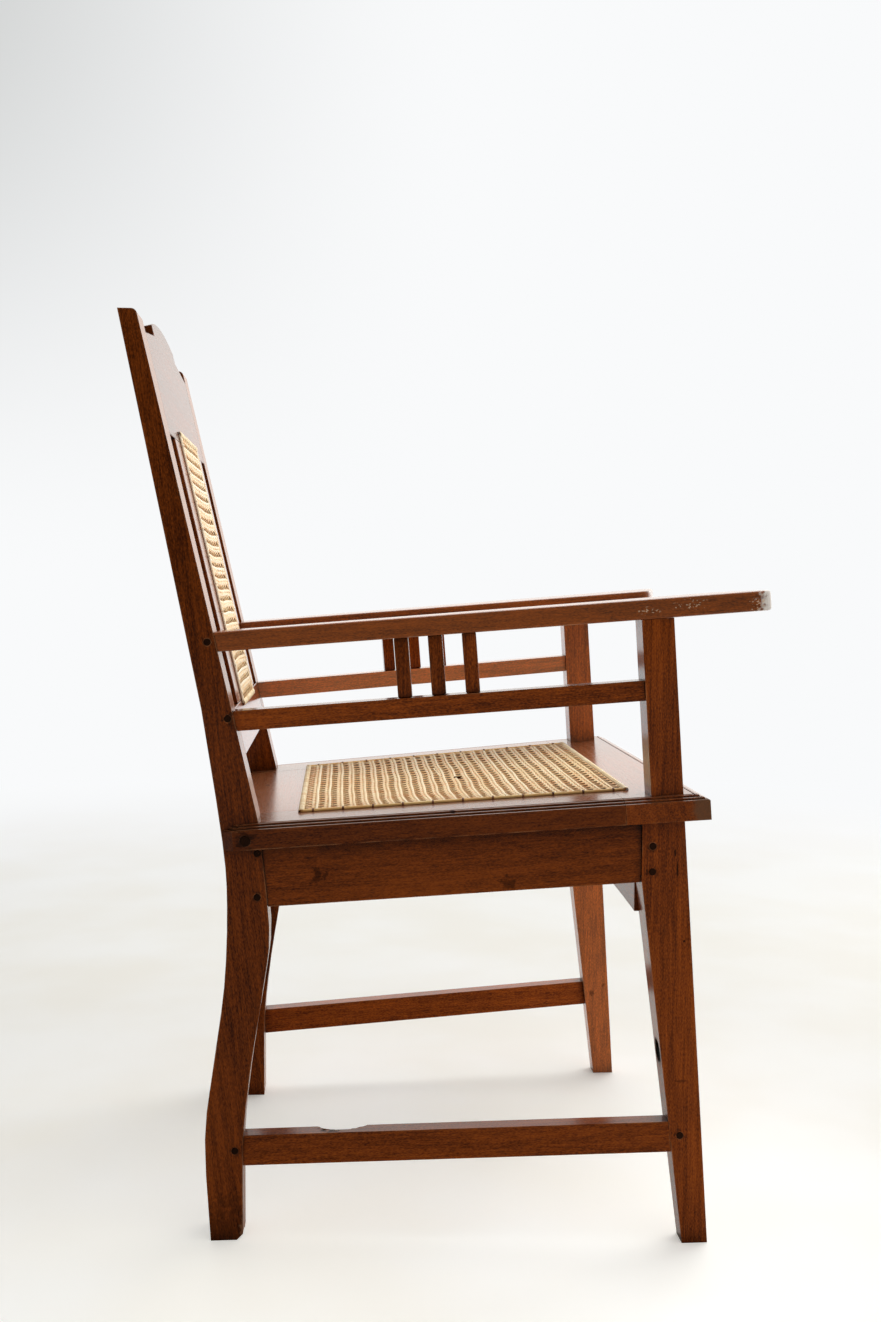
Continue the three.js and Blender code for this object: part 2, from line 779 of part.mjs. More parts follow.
const boardTongueDeep = [-boardThickness / 2 - tenonThickness / 2, -boardThickness / 2 + tenonThickness / 2];
const sideTongue = tenonJoint(
  seatFrame,
  [openingHalfAt(frontBoardRear) + 2 * tenonShoulder, boardOuterAt(frontBoardRear) - 3 * tenonShoulder],
  [frontBoardRear - overrun, frontBoardRear + stubLength],
  boardTongueDeep,
);
const rearTongue = tenonJoint(
  seatFrame,
  [openingHalfAt(0) - overrun, openingHalfAt(0) + stubLength],
  [0, rearBoardFront - tenonShoulder],
  boardTongueDeep,
);

function seatSideBoard() {
  const front = frontBoardRear - clearance;
  const blank = boardPlan([
    [openingHalfAt(boardRear), boardRear], [boardOuterAt(boardRear) + overrun, boardRear],
    [boardOuterAt(front) + overrun, front], [openingHalfAt(front), front],
  ]);
  const moulded = blank.intersect(sideMoulding).intersect(cornerMoulding);
  return cutBy(moulded.add(sideTongue.tenon), [
    rearPostBlank(clearance), notchBehindPost(), rearTongue.socket, boardPlug.hole,
  ]);
}

// The side board is open behind the post, so that it slides on from the front
function notchBehindPost() {
  return block(
    seatFrame,
    [postInner - clearance, backWidth / 2 + clearance],
    [-postSweep, (postFrontAt(seatHeight) + postBackAt(seatHeight)) / 2],
    [-boardThickness - overrun, overrun],
  );
}

function seatRearBoard() {
  const inset = (forward) => openingHalfAt(forward) - clearance;
  const board = boardPlan([
    [-inset(boardRear), boardRear], [inset(boardRear), boardRear],
    [inset(rearBoardFront), rearBoardFront], [-inset(rearBoardFront), rearBoardFront],
  ]);
  return joined(board, bothSides(rearTongue.tenon));
}

function seatFrontBoard() {
  const wide = boardOuterAt(frontBoardFront) + overrun;
  const nose = frontBoardFront + overrun;
  const blank = boardPlan([[-wide, frontBoardRear], [wide, frontBoardRear], [wide, nose], [-wide, nose]]);
  const edges = [frontMoulding, ...bothSides(sideMoulding)];
  const moulded = edges.reduce((board, edge) => board.intersect(edge), blank);
  const stemHole = slab(
    sideAxes,
    armPostShape(clearance, seatHeight - boardThickness * 2, armTop),
    frontLegHalfWidth - armPostThickness - clearance,
    frontLegHalfWidth + clearance,
  );
  return cutBy(moulded, [...bothSides(sideTongue.socket), ...bothSides(stemHole)]);
}

// Cane nets: a flat sheet of crossing strands, drawn between two edges that may differ in width
function netGeometry(columns, rows, halfWidthAt, bottom, top, level) {
  const lines = (count) => {
    const pitch = 1 / (count + 1 - caneOpenShare);
    const strand = pitch * (1 - caneOpenShare);
    return Array.from({ length: count + 1 }, (_, index) => [index * pitch, index * pitch + strand]).flat();
  };
  const across = lines(columns);
  const along = lines(rows);
  const positions = [];
  const indices = [];
  const index = (layer, row, column) => (layer * along.length + row) * across.length + column;
  for (const height of [level, level + caneThickness]) {
    for (const share of along) {
      const y = bottom + (top - bottom) * share;
      across.forEach((side) => positions.push((2 * side - 1) * halfWidthAt(y), y, height));
    }
  }
  const quad = (a, b, c, d) => indices.push(a, b, c, a, c, d);
  const isOpen = (row, column) => row % 2 === 1 && column % 2 === 1;
  const isSolid = (row, column) => row >= 0 && column >= 0 && row < along.length - 1
    && column < across.length - 1 && !isOpen(row, column);
  for (let row = 0; row < along.length - 1; row += 1) {
    for (let column = 0; column < across.length - 1; column += 1) {
      if (!isSolid(row, column)) continue;
      const [low, high] = [0, 1].map((layer) => [
        index(layer, row, column),
        index(layer, row, column + 1),
        index(layer, row + 1, column + 1),
        index(layer, row + 1, column),
      ]);
      quad(high[0], high[1], high[2], high[3]);
      quad(low[3], low[2], low[1], low[0]);
      if (!isSolid(row - 1, column)) quad(low[0], low[1], high[1], high[0]);
      if (!isSolid(row, column + 1)) quad(low[1], low[2], high[2], high[1]);
      if (!isSolid(row + 1, column)) quad(low[2], low[3], high[3], high[2]);
      if (!isSolid(row, column - 1)) quad(low[3], low[0], high[0], high[3]);
    }
  }
  const geometry = new THREE.BufferGeometry();
  geometry.setAttribute('position', new THREE.Float32BufferAttribute(positions, 3));
  geometry.setIndex(indices);
  return geometry;
}

// The binding strip that covers the row of holes, on the net's edge
function bindingSolid(frame, halfWidthAt, bottom, top, level) {
  const ring = (inset) => {
    const [low, high] = [bottom + inset, top - inset];
    return [
      [-halfWidthAt(low) + inset, low], [halfWidthAt(low) - inset, low],
      [halfWidthAt(high) - inset, high], [-halfWidthAt(high) + inset, high],
    ];
  };
  const shape = polygon(ring(0));
  shape.holes.push(new THREE.Path(ring(bindingWidth).map(([x, y]) => new THREE.Vector2(x, y))));
  return slab(frame, shape, level, level + bindingThickness);
}

const bindingLevel = clearance + caneThickness + clearance;

const seatCaneHalf = (forward) => openingHalfAt(forward) + seatCaneMargin;
const seatCaneRear = rearBoardFront - seatCaneMargin;
const seatCaneFront = frontBoardRear + seatCaneMargin;

function seatCane() {
  const geometry = netGeometry(seatColumns, seatRows, seatCaneHalf, seatCaneRear, seatCaneFront, clearance);
  geometry.applyMatrix4(seatFrame);
  return toSolid(geometry);
}

function seatBinding() {
  return bindingSolid(seatFrame, seatCaneHalf, seatCaneRear, seatCaneFront, bindingLevel);
}

const backCaneHalf = () => stileInner + backCaneSideMargin;
const backCaneFoot = lowerRailTop - backCaneFootMargin;
const backCaneTop = crestBottom + backCaneTopMargin;

function backCane() {
  const geometry = netGeometry(backColumns, backRows, backCaneHalf, backCaneFoot, backCaneTop, clearance);
  geometry.applyMatrix4(backFrame);
  return toSolid(geometry);
}

function backBinding() {
  return bindingSolid(backFrame, backCaneHalf, backCaneFoot, backCaneTop, bindingLevel);
}

// Mirroring across the chair's middle
function mirroredGeometry(geometry) {
  const copy = geometry.clone();
  const position = copy.attributes.position;
  for (let i = 0; i < position.count; i += 1) position.setX(i, -position.getX(i));
  const order = copy.index;
  for (let i = 0; i < order.count; i += 3) {
    const second = order.getX(i + 1);
    order.setX(i + 1, order.getX(i + 2));
    order.setX(i + 2, second);
  }
  return copy;
}

function bothSides(solid) {
  return [solid, toSolid(mirroredGeometry(toGeometry(solid)))];
}

// Scene graph: each mesh sits at the middle of its own box
const chair = new THREE.Group();

function place(name, geometry, finish) {
  geometry.computeBoundingBox();
  const middle = geometry.boundingBox.getCenter(new THREE.Vector3());
  geometry.translate(-middle.x, -middle.y, -middle.z);
  geometry.computeVertexNormals();
  const mesh = new THREE.Mesh(geometry, new THREE.MeshStandardMaterial(finish));
  mesh.name = name;
  mesh.position.copy(middle);
  chair.add(mesh);
}

function placePair(name, solid, finish) {
  const geometry = toGeometry(solid);
  place(`${name}_left`, mirroredGeometry(geometry), finish);
  place(`${name}_right`, geometry, finish);
}

placePair('rear_post', rearPost(), teak);
placePair('front_leg', frontLeg(), teak);
placePair('side_apron', sideApron(), teak);
placePair('side_stretcher', sideStretcher(), teak);
placePair('arm_rail', armRail(), teak);
placePair('arm', arm(), teak);
slatStations.forEach((station, index) => placePair(`arm_slat_${index + 1}`, armSlat(station), teak));
placePair('back_stile', backStile(), teak);
placePair('seat_side_board', seatSideBoard(), teak);
place('crest_rail', toGeometry(crestRail()), teak);
place('lower_back_rail', toGeometry(lowerBackRail()), teak);
place('front_apron', toGeometry(frontApron()), teak);
place('rear_apron', toGeometry(rearApron()), teak);
place('seat_front_board', toGeometry(seatFrontBoard()), teak);
place('seat_rear_board', toGeometry(seatRearBoard()), teak);
place('seat_cane', toGeometry(seatCane()), caneStraw);
place('seat_cane_binding', toGeometry(seatBinding()), caneStraw);
place('back_cane', toGeometry(backCane()), caneStraw);
place('back_cane_binding', toGeometry(backBinding()), caneStraw);

for (const peg of pegs) {
  for (const [side, sign] of [['left', -1], ['right', 1]]) {
    const mesh = new THREE.Mesh(peg.geometry, new THREE.MeshStandardMaterial(darkTeak));
    mesh.name = `${peg.name}_${side}`;
    mesh.position.set(peg.position[0] * sign, peg.position[1], peg.position[2]);
    chair.add(mesh);
  }
}

// The origin is on the floor under the middle of the whole chair
const bounds = new THREE.Box3().setFromObject(chair);
chair.position.y = -(bounds.min.y + bounds.max.y) / 2;

export default chair;
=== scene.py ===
# %% [markdown]
# # A planters chair in teak and cane
# The chair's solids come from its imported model, and they stay where they are. This lesson gives
# them their looks: waxed and worn teak, dark pegs, and a seat and a back woven strand by strand.
# Everything is in metres, in the model's own frame: +Z is up, the chair faces -Y, and +X is the
# sitter's left. The photograph looks at the sitter's right side, along +X.

# %% Load the frame
import bpy
import math
import numpy as np
from mathutils import Matrix, Vector


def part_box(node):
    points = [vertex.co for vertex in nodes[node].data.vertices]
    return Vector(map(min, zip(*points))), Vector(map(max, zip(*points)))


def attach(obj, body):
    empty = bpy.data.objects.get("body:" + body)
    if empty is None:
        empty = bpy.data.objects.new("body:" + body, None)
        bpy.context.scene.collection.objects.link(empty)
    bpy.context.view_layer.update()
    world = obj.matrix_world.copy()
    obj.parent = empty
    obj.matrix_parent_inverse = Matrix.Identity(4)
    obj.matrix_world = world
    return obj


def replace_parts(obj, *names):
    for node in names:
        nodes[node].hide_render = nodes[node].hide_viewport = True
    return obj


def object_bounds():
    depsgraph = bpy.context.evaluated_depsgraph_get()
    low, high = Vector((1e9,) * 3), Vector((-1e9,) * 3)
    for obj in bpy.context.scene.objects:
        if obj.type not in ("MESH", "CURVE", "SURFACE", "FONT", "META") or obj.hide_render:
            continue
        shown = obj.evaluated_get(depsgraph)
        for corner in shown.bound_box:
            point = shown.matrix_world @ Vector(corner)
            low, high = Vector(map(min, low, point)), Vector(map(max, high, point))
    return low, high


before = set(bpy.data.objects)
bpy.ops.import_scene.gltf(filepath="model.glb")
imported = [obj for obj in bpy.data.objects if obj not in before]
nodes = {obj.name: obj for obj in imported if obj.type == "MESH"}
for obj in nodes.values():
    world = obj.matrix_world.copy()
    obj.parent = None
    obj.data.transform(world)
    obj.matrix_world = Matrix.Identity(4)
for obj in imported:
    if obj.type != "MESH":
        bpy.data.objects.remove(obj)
cad_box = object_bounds()
scene = bpy.context.scene
print("loaded", len(nodes), "solids, highest point", round(cad_box[1].z, 4))

# %% [markdown]
# ## The camera
# The view was solved from the floor's square tiles and the chair's long edges. It stands on the
# sitter's right, 1.6 m off, and looks slightly down. How far forward it stands is measured from
# the rearmost point. A camera looks along -Z, so its three axes are its matrix's columns.

# %% Camera
PHOTO_HEIGHT = 1322
FOCAL_PIXELS = 1362
SENSOR = 0.036
CAMERA_AHEAD_OF_POSTS = 0.2210
CAMERA_PLACE = Vector((-1.596, cad_box[1].y - CAMERA_AHEAD_OF_POSTS, 0.6721))
CAMERA_YAW, CAMERA_DIP, CAMERA_ROLL = 0.074, 0.0553, 0.0058


def add_object(name, data):
    thing = bpy.data.objects.new(name, data)
    scene.collection.objects.link(thing)
    return thing


def camera_matrix(place, yaw, dip, roll):
    level = Vector((math.cos(yaw), -math.sin(yaw), 0))
    right = Vector((-math.sin(yaw), -math.cos(yaw), 0))
    up = Vector((0, 0, 1))
    ahead = level * math.cos(dip) - up * math.sin(dip)
    above = up * math.cos(dip) + level * math.sin(dip)
    across = right * math.cos(roll) + above * math.sin(roll)
    upward = above * math.cos(roll) - right * math.sin(roll)
    columns = Matrix((across, upward, -ahead)).transposed().to_4x4()
    return Matrix.Translation(place) @ columns


camera = add_object("camera", bpy.data.cameras.new("camera"))
camera.matrix_world = camera_matrix(CAMERA_PLACE, CAMERA_YAW, CAMERA_DIP, CAMERA_ROLL)
camera.data.sensor_width = SENSOR * 1000
camera.data.lens = FOCAL_PIXELS / PHOTO_HEIGHT * SENSOR * 1000
scene.camera = camera
print("camera lens", round(camera.data.lens, 2), "mm")

# %% [markdown]
# ## Building shaders in few words
# A material is a small drawing of nodes and links. These helpers put a node down, do sums and mix
# colours, so that the later cells read as recipes. An effect that several finishes share becomes
# a node group: its recipe takes named sockets, and returns named results.

# %% Shader helpers
def put(tree, kind, inputs=None, **settings):
    node = tree.nodes.new("ShaderNode" + kind)
    for key, value in settings.items():
        setattr(node, key, value)
    for key, value in (inputs or {}).items():
        feed(tree, node.inputs[key], value)
    return node


def feed(tree, socket, value):
    if isinstance(value, bpy.types.NodeSocket):
        tree.links.new(value, socket)
    else:
        socket.default_value = value


def sums(tree, operation, *values, clamp=False):
    node = put(tree, "Math", operation=operation, use_clamp=clamp)
    for socket, value in zip(node.inputs, values):
        feed(tree, socket, value)
    return node.outputs[0]


def times(tree, *values):
    return sums(tree, "MULTIPLY", *values)


def less(tree, first, second):
    return sums(tree, "SUBTRACT", first, second)


def weighed(tree, value, weight, base, clamp=False):
    return sums(tree, "MULTIPLY_ADD", value, weight, base, clamp=clamp)


def vector_sums(tree, operation, *values):
    node = put(tree, "VectorMath", operation=operation)
    for socket, value in zip(node.inputs, values):
        feed(tree, socket, value)
    return node.outputs["Value" if operation in ("LENGTH", "DOT_PRODUCT") else "Vector"]


def spread(tree, value, low, high, to_low=0.0, to_high=1.0):
    inputs = {"Value": value, "From Min": low, "From Max": high, "To Min": to_low, "To Max": to_high}
    node = put(tree, "MapRange", inputs, interpolation_type="SMOOTHSTEP")
    return node.outputs["Result"]


def mixed(tree, amount, first, second):
    node = put(tree, "Mix", data_type="RGBA")
    for place, value in ((0, amount), (6, first), (7, second)):
        feed(tree, node.inputs[place], value)
    return node.outputs[2]


def own_place(tree):
    return put(tree, "TexCoord").outputs["Object"]


def noise(tree, where, scale, detail, stretch=(1, 1, 1)):
    scaled = vector_sums(tree, "MULTIPLY", where, stretch)
    return put(tree, "TexNoise", {"Vector": scaled, "Scale": scale, "Detail": detail}).outputs["Fac"]


def new_material(name):
    material = bpy.data.materials.new(name)
    material.use_nodes = True
    tree = material.node_tree
    tree.nodes.clear()
    return material, tree, put(tree, "OutputMaterial").inputs["Surface"]


def satin(tree, surface, colour, rough, height, relief, **coat):
    """A rough surface in relief: the relief is a strength and a distance."""
    bump = put(tree, "Bump", {"Height": height, "Strength": relief[0], "Distance": relief[1]})
    inputs = {"Base Color": colour, "Roughness": rough, "Normal": bump.outputs[0], **coat}
    tree.links.new(put(tree, "BsdfPrincipled", inputs).outputs[0], surface)


def new_group(name, inputs, recipe):
    """A socket's kind follows from its default: one number, three numbers or a colour's four."""
    tree = bpy.data.node_groups.new(name, "ShaderNodeTree")
    for label, value in inputs.items():
        kind = "Float" if isinstance(value, float) else {3: "Vector", 4: "Color"}[len(value)]
        socket = tree.interface.new_socket(label, in_out="INPUT", socket_type="NodeSocket" + kind)
        socket.default_value = value
    results = recipe(tree, tree.nodes.new("NodeGroupInput").outputs)
    for label in results:
        kind = "Color" if label == "Colour" else "Float"
        tree.interface.new_socket(label, in_out="OUTPUT", socket_type="NodeSocket" + kind)
    out = tree.nodes.new("NodeGroupOutput").inputs
    for label, value in results.items():
        tree.links.new(value, out[label])
    print("group", name, "with", len(tree.nodes), "nodes")
    return tree


def grouped(tree, group, **inputs):
    node = put(tree, "Group", node_tree=group)
    for key, value in inputs.items():
        feed(tree, node.inputs[key], value)
    return node.outputs


# %% [markdown]
# ## Colours
# Colours are easier to judge as they show on a screen, and a shader wants them linear. One small
# function turns the three screen numbers, from 0 to 255, into a linear colour.

# %% Colour helper
def screen(red, green, blue):
    def linear(value):
        share = value / 255
        return share / 12.92 if share <= 0.04045 else ((share + 0.055) / 1.055) ** 2.4
    return (linear(red), linear(green), linear(blue), 1.0)


print("mid grey is", round(screen(128, 128, 128)[0], 3), "to a shader")

# %% [markdown]
# ## Floor
# The real chair stands in a white room on pale stone. The floor is one pale sheet that melts into
# the white backdrop, so no horizon shows. The camera also sees a faint glow on it, strongest in
# front of the chair's near side. Each fade of the glow runs along one axis: from where, to where,
# and how strong at its two ends.

# %% Floor
BACKDROP = screen(249, 250, 251)
FLOOR_PALE, FLOOR_WARM = screen(231, 231, 228), screen(227, 225, 218)
FLOOR_CLOUD, FLOOR_ROUGHNESS = 3.0, 0.6
FLOOR_REACH = 12.0
FADE_FROM, FADE_TO = 0.9, 3.2
# The glow behind the chair, then the three fades that shape the glow near it
GLOW_FADES = (("Y", 0.9, -0.7, 0.10, 0.0), ("X", 0.6, -0.35, 0.0, 0.58),
              ("Y", -0.75, -0.1, 0.1, 1.0), ("Y", 0.15, 0.6, 1.0, 0.55))


def add_mesh(name, points, faces):
    mesh = bpy.data.meshes.new(name)
    mesh.from_pydata(points, [], faces)
    return add_object(name, mesh)


def floor_glow(tree, where):
    apart = put(tree, "SeparateXYZ", {0: where}).outputs
    behind, near, *others = (spread(tree, apart[axis], *fade) for axis, *fade in GLOW_FADES)
    for fade in others:
        near = times(tree, near, fade)
    return sums(tree, "ADD", behind, near)


def floor_material():
    material, tree, surface = new_material("pale_floor")
    where = own_place(tree)
    path = put(tree, "LightPath").outputs
    cloud = spread(tree, noise(tree, where, FLOOR_CLOUD, 3.0), 0.3, 0.7)
    stone = mixed(tree, cloud, FLOOR_PALE, FLOOR_WARM)
    matt = put(tree, "BsdfPrincipled", {"Base Color": stone, "Roughness": FLOOR_ROUGHNESS})
    strength = times(tree, floor_glow(tree, where), path["Is Camera Ray"])
    lift = put(tree, "Emission", {"Color": stone, "Strength": strength})
    lit = put(tree, "AddShader", {0: matt.outputs[0], 1: lift.outputs[0]})
    white = put(tree, "Emission", {"Color": BACKDROP, "Strength": 1.0})
    away = spread(tree, vector_sums(tree, "LENGTH", where), FADE_FROM, FADE_TO)
    looking = sums(tree, "MAXIMUM", path["Is Camera Ray"], path["Is Glossy Ray"])
    both = put(tree, "MixShader",
               {0: times(tree, away, looking), 1: lit.outputs[0], 2: white.outputs[0]})
    tree.links.new(both.outputs[0], surface)
    return material


corners = [(x * FLOOR_REACH, y * FLOOR_REACH, 0) for x, y in ((-1, -1), (1, -1), (1, 1), (-1, 1))]
sheet = add_mesh("floor", corners, [(0, 1, 2, 3)])
sheet.data.materials.append(floor_material())
print("floor", 2 * FLOOR_REACH, "m wide")

# %% [markdown]
# ## Light
# A large low window in front of the chair and on its far side lights it, so the near side is the
# shaded one. The world does the same: bright towards the window, dim and warm behind the camera.
# For the camera's own rays it is the white backdrop, shaded in the corner behind the chair.

# %% World and lamps
WORLD_LIGHT, DIM_SHARE = 0.80, 0.10
WINDOW_WAY, DIM_TO_BRIGHT = (0.72, -0.62, 0.32), (-0.75, 0.55)
REFLECTED, REFLECTED_DIM = screen(252, 247, 241), screen(226, 170, 112)
BACKDROP_SHADED = screen(180, 182, 180)
SHADE_BEHIND, SHADE_ABOVE = ((0, 1, 0), -0.1, 0.45), ((0, 0, 1), 0.0, 0.45)
WHITE, SUNNY, BOUNCED = (1, 1, 1), (1.0, 0.99, 0.97), (1.0, 0.95, 0.90)
# Each lamp's name, place, height that it points at, size, watts, colour and share of gloss
LAMPS = (
    ("window", (2.6, -2.9, 1.9), 0.45, (3.0, 2.4), 53, SUNNY, 1.0),
    ("ceiling", (0.6, -0.4, 2.7), 0.3, (2.2, 2.2), 36, SUNNY, 1.0),
    ("white_wall", (3.4, -0.5, 1.0), 0.5, (3.4, 1.8), 6, WHITE, 1.0),
    ("room_bounce", (-2.8, -1.6, 1.6), 0.5, (2.2, 1.6), 7, BOUNCED, 0.0),
)


def build_world():
    world = scene.world = bpy.data.worlds.new("pale_room")
    world.use_nodes = True
    tree = world.node_tree
    tree.nodes.clear()
    path = put(tree, "LightPath").outputs
    way = put(tree, "TexCoord").outputs["Generated"]

    def towards(axis, low, high, *limits):
        return spread(tree, vector_sums(tree, "DOT_PRODUCT", way, axis), low, high, *limits)
    room = towards(WINDOW_WAY, *DIM_TO_BRIGHT, DIM_SHARE, 1.0)
    share = spread(tree, path["Is Glossy Ray"], 0.0, 1.0, WORLD_LIGHT, 1.0)
    strength = sums(tree, "MAXIMUM", times(tree, room, share), path["Is Camera Ray"])
    shadow = times(tree, towards(*SHADE_BEHIND), towards(*SHADE_ABOVE))
    seen = mixed(tree, shadow, BACKDROP, BACKDROP_SHADED)
    mirrored = mixed(tree, room, REFLECTED_DIM, REFLECTED)
    paint = mixed(tree, path["Is Glossy Ray"], seen, mirrored)
    background = put(tree, "Background", {"Color": paint, "Strength": strength})
    output = put(tree, "OutputWorld")
    tree.links.new(background.outputs[0], output.inputs["Surface"])


def soft_lamp(name, place, target_height, size, power, colour, gloss):
    lamp = bpy.data.lights.new(name, "AREA")
    lamp.specular_factor = gloss
    lamp.shape = "RECTANGLE"
    lamp.size, lamp.size_y = size
    lamp.energy = power
    lamp.color = colour
    holder = add_object(name, lamp)
    holder.location = place
    way = Vector((0, 0, target_height)) - Vector(place)
    holder.rotation_euler = way.to_track_quat("-Z", "Y").to_euler()
    holder.visible_camera = False


build_world()
for lamp_settings in LAMPS:
    soft_lamp(*lamp_settings)
scene.view_settings.view_transform = "Standard"
print("lit by a pale room and", len(LAMPS), "lamps")

# %% [markdown]
# ## Teak grain
# Teak is sawn along the tree, so its growth rings show as long, nearly straight lines, with pores
# as short dark scratches between them. The group turns the piece until its grain runs along Z,
# squeezes that direction, and reads the lines from noise. It gives a colour, a roughness and a
# height.

# %% Teak grain group
GRAIN_SHIFT = (0.17, 0.31, 0.23)
GRAIN_CONTRAST = 1.15
RING_SQUEEZE, RING_WEIGHT = 0.07, 0.10
RING_WAVES = {"Scale": 24.0, "Distortion": 3.5, "Detail": 2.0, "Detail Scale": 0.6, "Detail Roughness": 0.55}
# Each noise's scale, detail, squeeze along the grain and weight in the tone
GRAIN_NOISES = {
    "streak": (75.0, 3.0, 0.06, 0.5),
    "fibre": (520.0, 2.0, 0.035, 1.0),
    "mottle": (1150.0, 3.0, 0.3, 1.7),
    "cloud": (9.0, 3.0, 0.35, 1.0),
}
PORE_SCALE, PORE_SQUEEZE, PORE_FROM, PORE_TO = 1250.0, 0.045, 0.6, 0.72
PORE_SHADE, PORE_COLOUR = 0.45, (0.02, 0.008, 0.004, 1)
WOOD_ROUGHNESS, FIBRE_ROUGHNESS, CLOUD_ROUGHNESS = 0.27, 0.14, 0.12
FIBRE_HEIGHT, STREAK_HEIGHT, PORE_DEPTH = 0.5, 0.9, 0.5


def grain(tree, given):
    place = own_place(tree)
    turned = put(tree, "VectorRotate", {"Vector": place, "Rotation": given["Turn"]},
                 rotation_type="EULER_XYZ").outputs[0]
    shift = put(tree, "VectorMath", {0: GRAIN_SHIFT, "Scale": given["Seed"]}, operation="SCALE")
    where = vector_sums(tree, "ADD", turned, shift.outputs["Vector"])
    squeezed = vector_sums(tree, "MULTIPLY", where, (1, 1, RING_SQUEEZE))
    rings = put(tree, "TexWave", {"Vector": squeezed, **RING_WAVES},
                wave_type="RINGS", rings_direction="Z").outputs["Fac"]
    tone = weighed(tree, less(tree, rings, 0.5), RING_WEIGHT, 0.5)
    parts = {}
    for name, (scale, detail, squeeze, weight) in GRAIN_NOISES.items():
        parts[name] = noise(tree, where, scale, detail, (1, 1, squeeze))
        tone = weighed(tree, less(tree, parts[name], 0.5), weight, tone)
    even = less(tree, tone, 0.5)
    tone = weighed(tree, even, GRAIN_CONTRAST, 0.5, clamp=True)
    pores = spread(tree, noise(tree, where, PORE_SCALE, 1.0, (1, 1, PORE_SQUEEZE)), PORE_FROM, PORE_TO)
    plain = mixed(tree, tone, given["Dark"], given["Light"])
    coloured = mixed(tree, times(tree, pores, PORE_SHADE), plain, PORE_COLOUR)
    rough = weighed(tree, parts["fibre"], FIBRE_ROUGHNESS, WOOD_ROUGHNESS)
    rough = weighed(tree, parts["cloud"], CLOUD_ROUGHNESS, rough)
    height = times(tree, parts["streak"], STREAK_HEIGHT)
    height = weighed(tree, parts["fibre"], FIBRE_HEIGHT, height)
    height = less(tree, height, times(tree, pores, PORE_DEPTH))
    return {"Colour": coloured, "Roughness": rough, "Height": height}


GRAIN_INPUTS = {"Turn": (0, 0, 0), "Seed": 0.0, "Light": (1, 1, 1, 1), "Dark": (0, 0, 0, 1)}
grain_group = new_group("teak grain", GRAIN_INPUTS, grain)

# %% [markdown]
# ## Worn arrises
# Hands and clothes polish the arrises of old furniture and take its stain off. The Bevel node
# says how the surface would bend if it were rounded, and where that bend differs from the real
# one there is an edge. A noise breaks the wear up.

# %% Edge wear group
WEAR_RADIUS, WEAR_AMOUNT = 0.003, 0.55
WEAR_BEND = (0.985, 0.80)
WEAR_SCALE, WEAR_BREAKS = 38.0, (0.38, 0.66)


def wear(tree, given):
    bent = put(tree, "Bevel", {"Radius": WEAR_RADIUS}, samples=6).outputs["Normal"]
    true = put(tree, "NewGeometry").outputs["Normal"]
    edge = spread(tree, vector_sums(tree, "DOT_PRODUCT", bent, true), *WEAR_BEND)
    place = own_place(tree)
    shift = put(tree, "CombineXYZ", {"X": given["Seed"]}).outputs[0]
    moved = vector_sums(tree, "ADD", place, shift)
    broken = spread(tree, noise(tree, moved, WEAR_SCALE, 4.0), *WEAR_BREAKS)
    return {"Mask": sums(tree, "MULTIPLY", times(tree, edge, broken), WEAR_AMOUNT, clamp=True)}


wear_group = new_group("worn arrises", {"Seed": 0.0}, wear)

# %% [markdown]
# ## Painted shade and dirt in the corners
# Along the joints, under the boards and round the pegs little of the room is seen: shade falls
# there, and polish and dust gather where a cloth can't reach. Ambient occlusion finds those
# places, and the mask darkens them: painted shade, with some dirt.

# %% Painted shade and dirt group
SHADE_GRIME_REACH = 0.022
SHADE_GRIME_HIDDEN = (0.12, 0.62)
SHADE_GRIME_SCALE, SHADE_GRIME_UNEVEN = 60.0, (0.25, 0.7, 0.45, 1.0)


def shade_and_grime_mask(tree, given):
    shade = put(tree, "AmbientOcclusion", {"Distance": given["Reach"]}, samples=5)
    hidden = less(tree, 1.0, shade.outputs["AO"])
    place = own_place(tree)
    uneven = spread(tree, noise(tree, place, SHADE_GRIME_SCALE, 3.0), *SHADE_GRIME_UNEVEN)
    mask = times(tree, spread(tree, hidden, *SHADE_GRIME_HIDDEN), uneven)
    # The mask paints shade and dirt together where little of the room is seen.
    return {"Mask": sums(tree, "MULTIPLY", mask, given["Amount"], clamp=True)}


shade_and_grime_group = new_group("corner grime", {"Reach": SHADE_GRIME_REACH, "Amount": 1.0}, shade_and_grime_mask)

# %% [markdown]
# ## Single marks
# Knots, stains and rubbed patches each have their own place on the real chair. This group is a
# soft lump round one point, as long and wide as asked, with a ragged rim.

# %% Mark group
MARK_SCALE, MARK_TEAR = 160.0, 4.0
MARK_RIM = (1.0, 0.55)
NO_PATCH = {"Centre": (0, 0, 0), "Size": (0.01, 0.01, 0.01)}


def mark(tree, given):
    place = own_place(tree)
    away = vector_sums(tree, "SUBTRACT", place, given["Centre"])
    far = vector_sums(tree, "LENGTH", vector_sums(tree, "DIVIDE", away, given["Size"]))
    shaken = less(tree, noise(tree, place, MARK_SCALE, 3.0), 0.5)
    rim = weighed(tree, times(tree, shaken, given["Ragged"]), MARK_TEAR, far)
    return {"Mask": spread(tree, rim, *MARK_RIM)}


mark_group = new_group("single mark", {**NO_PATCH, "Ragged": 0.5}, mark)

# %% [markdown]
# ## Scuffs
# Along the arms the polish is knocked off in many small pale flecks. They are the peaks of a fine
# noise, stretched along the arm, and they show only inside a soft patch.

# %% Scuff group
SCUFF_SCALE, SCUFF_STRETCH = 560.0, (1, 0.55, 1)
SCUFF_PEAKS, SCUFF_RAGGED = (0.56, 0.62), 0.6


def scuff(tree, given):
    place = own_place(tree)
    patch = grouped(tree, mark_group, Centre=given["Centre"], Size=given["Size"], Ragged=SCUFF_RAGGED)
    peaks = spread(tree, noise(tree, place, SCUFF_SCALE, 4.0, SCUFF_STRETCH), *SCUFF_PEAKS)
    return {"Mask": times(tree, patch["Mask"], peaks)}


scuff_group = new_group("scuffs", NO_PATCH, scuff)
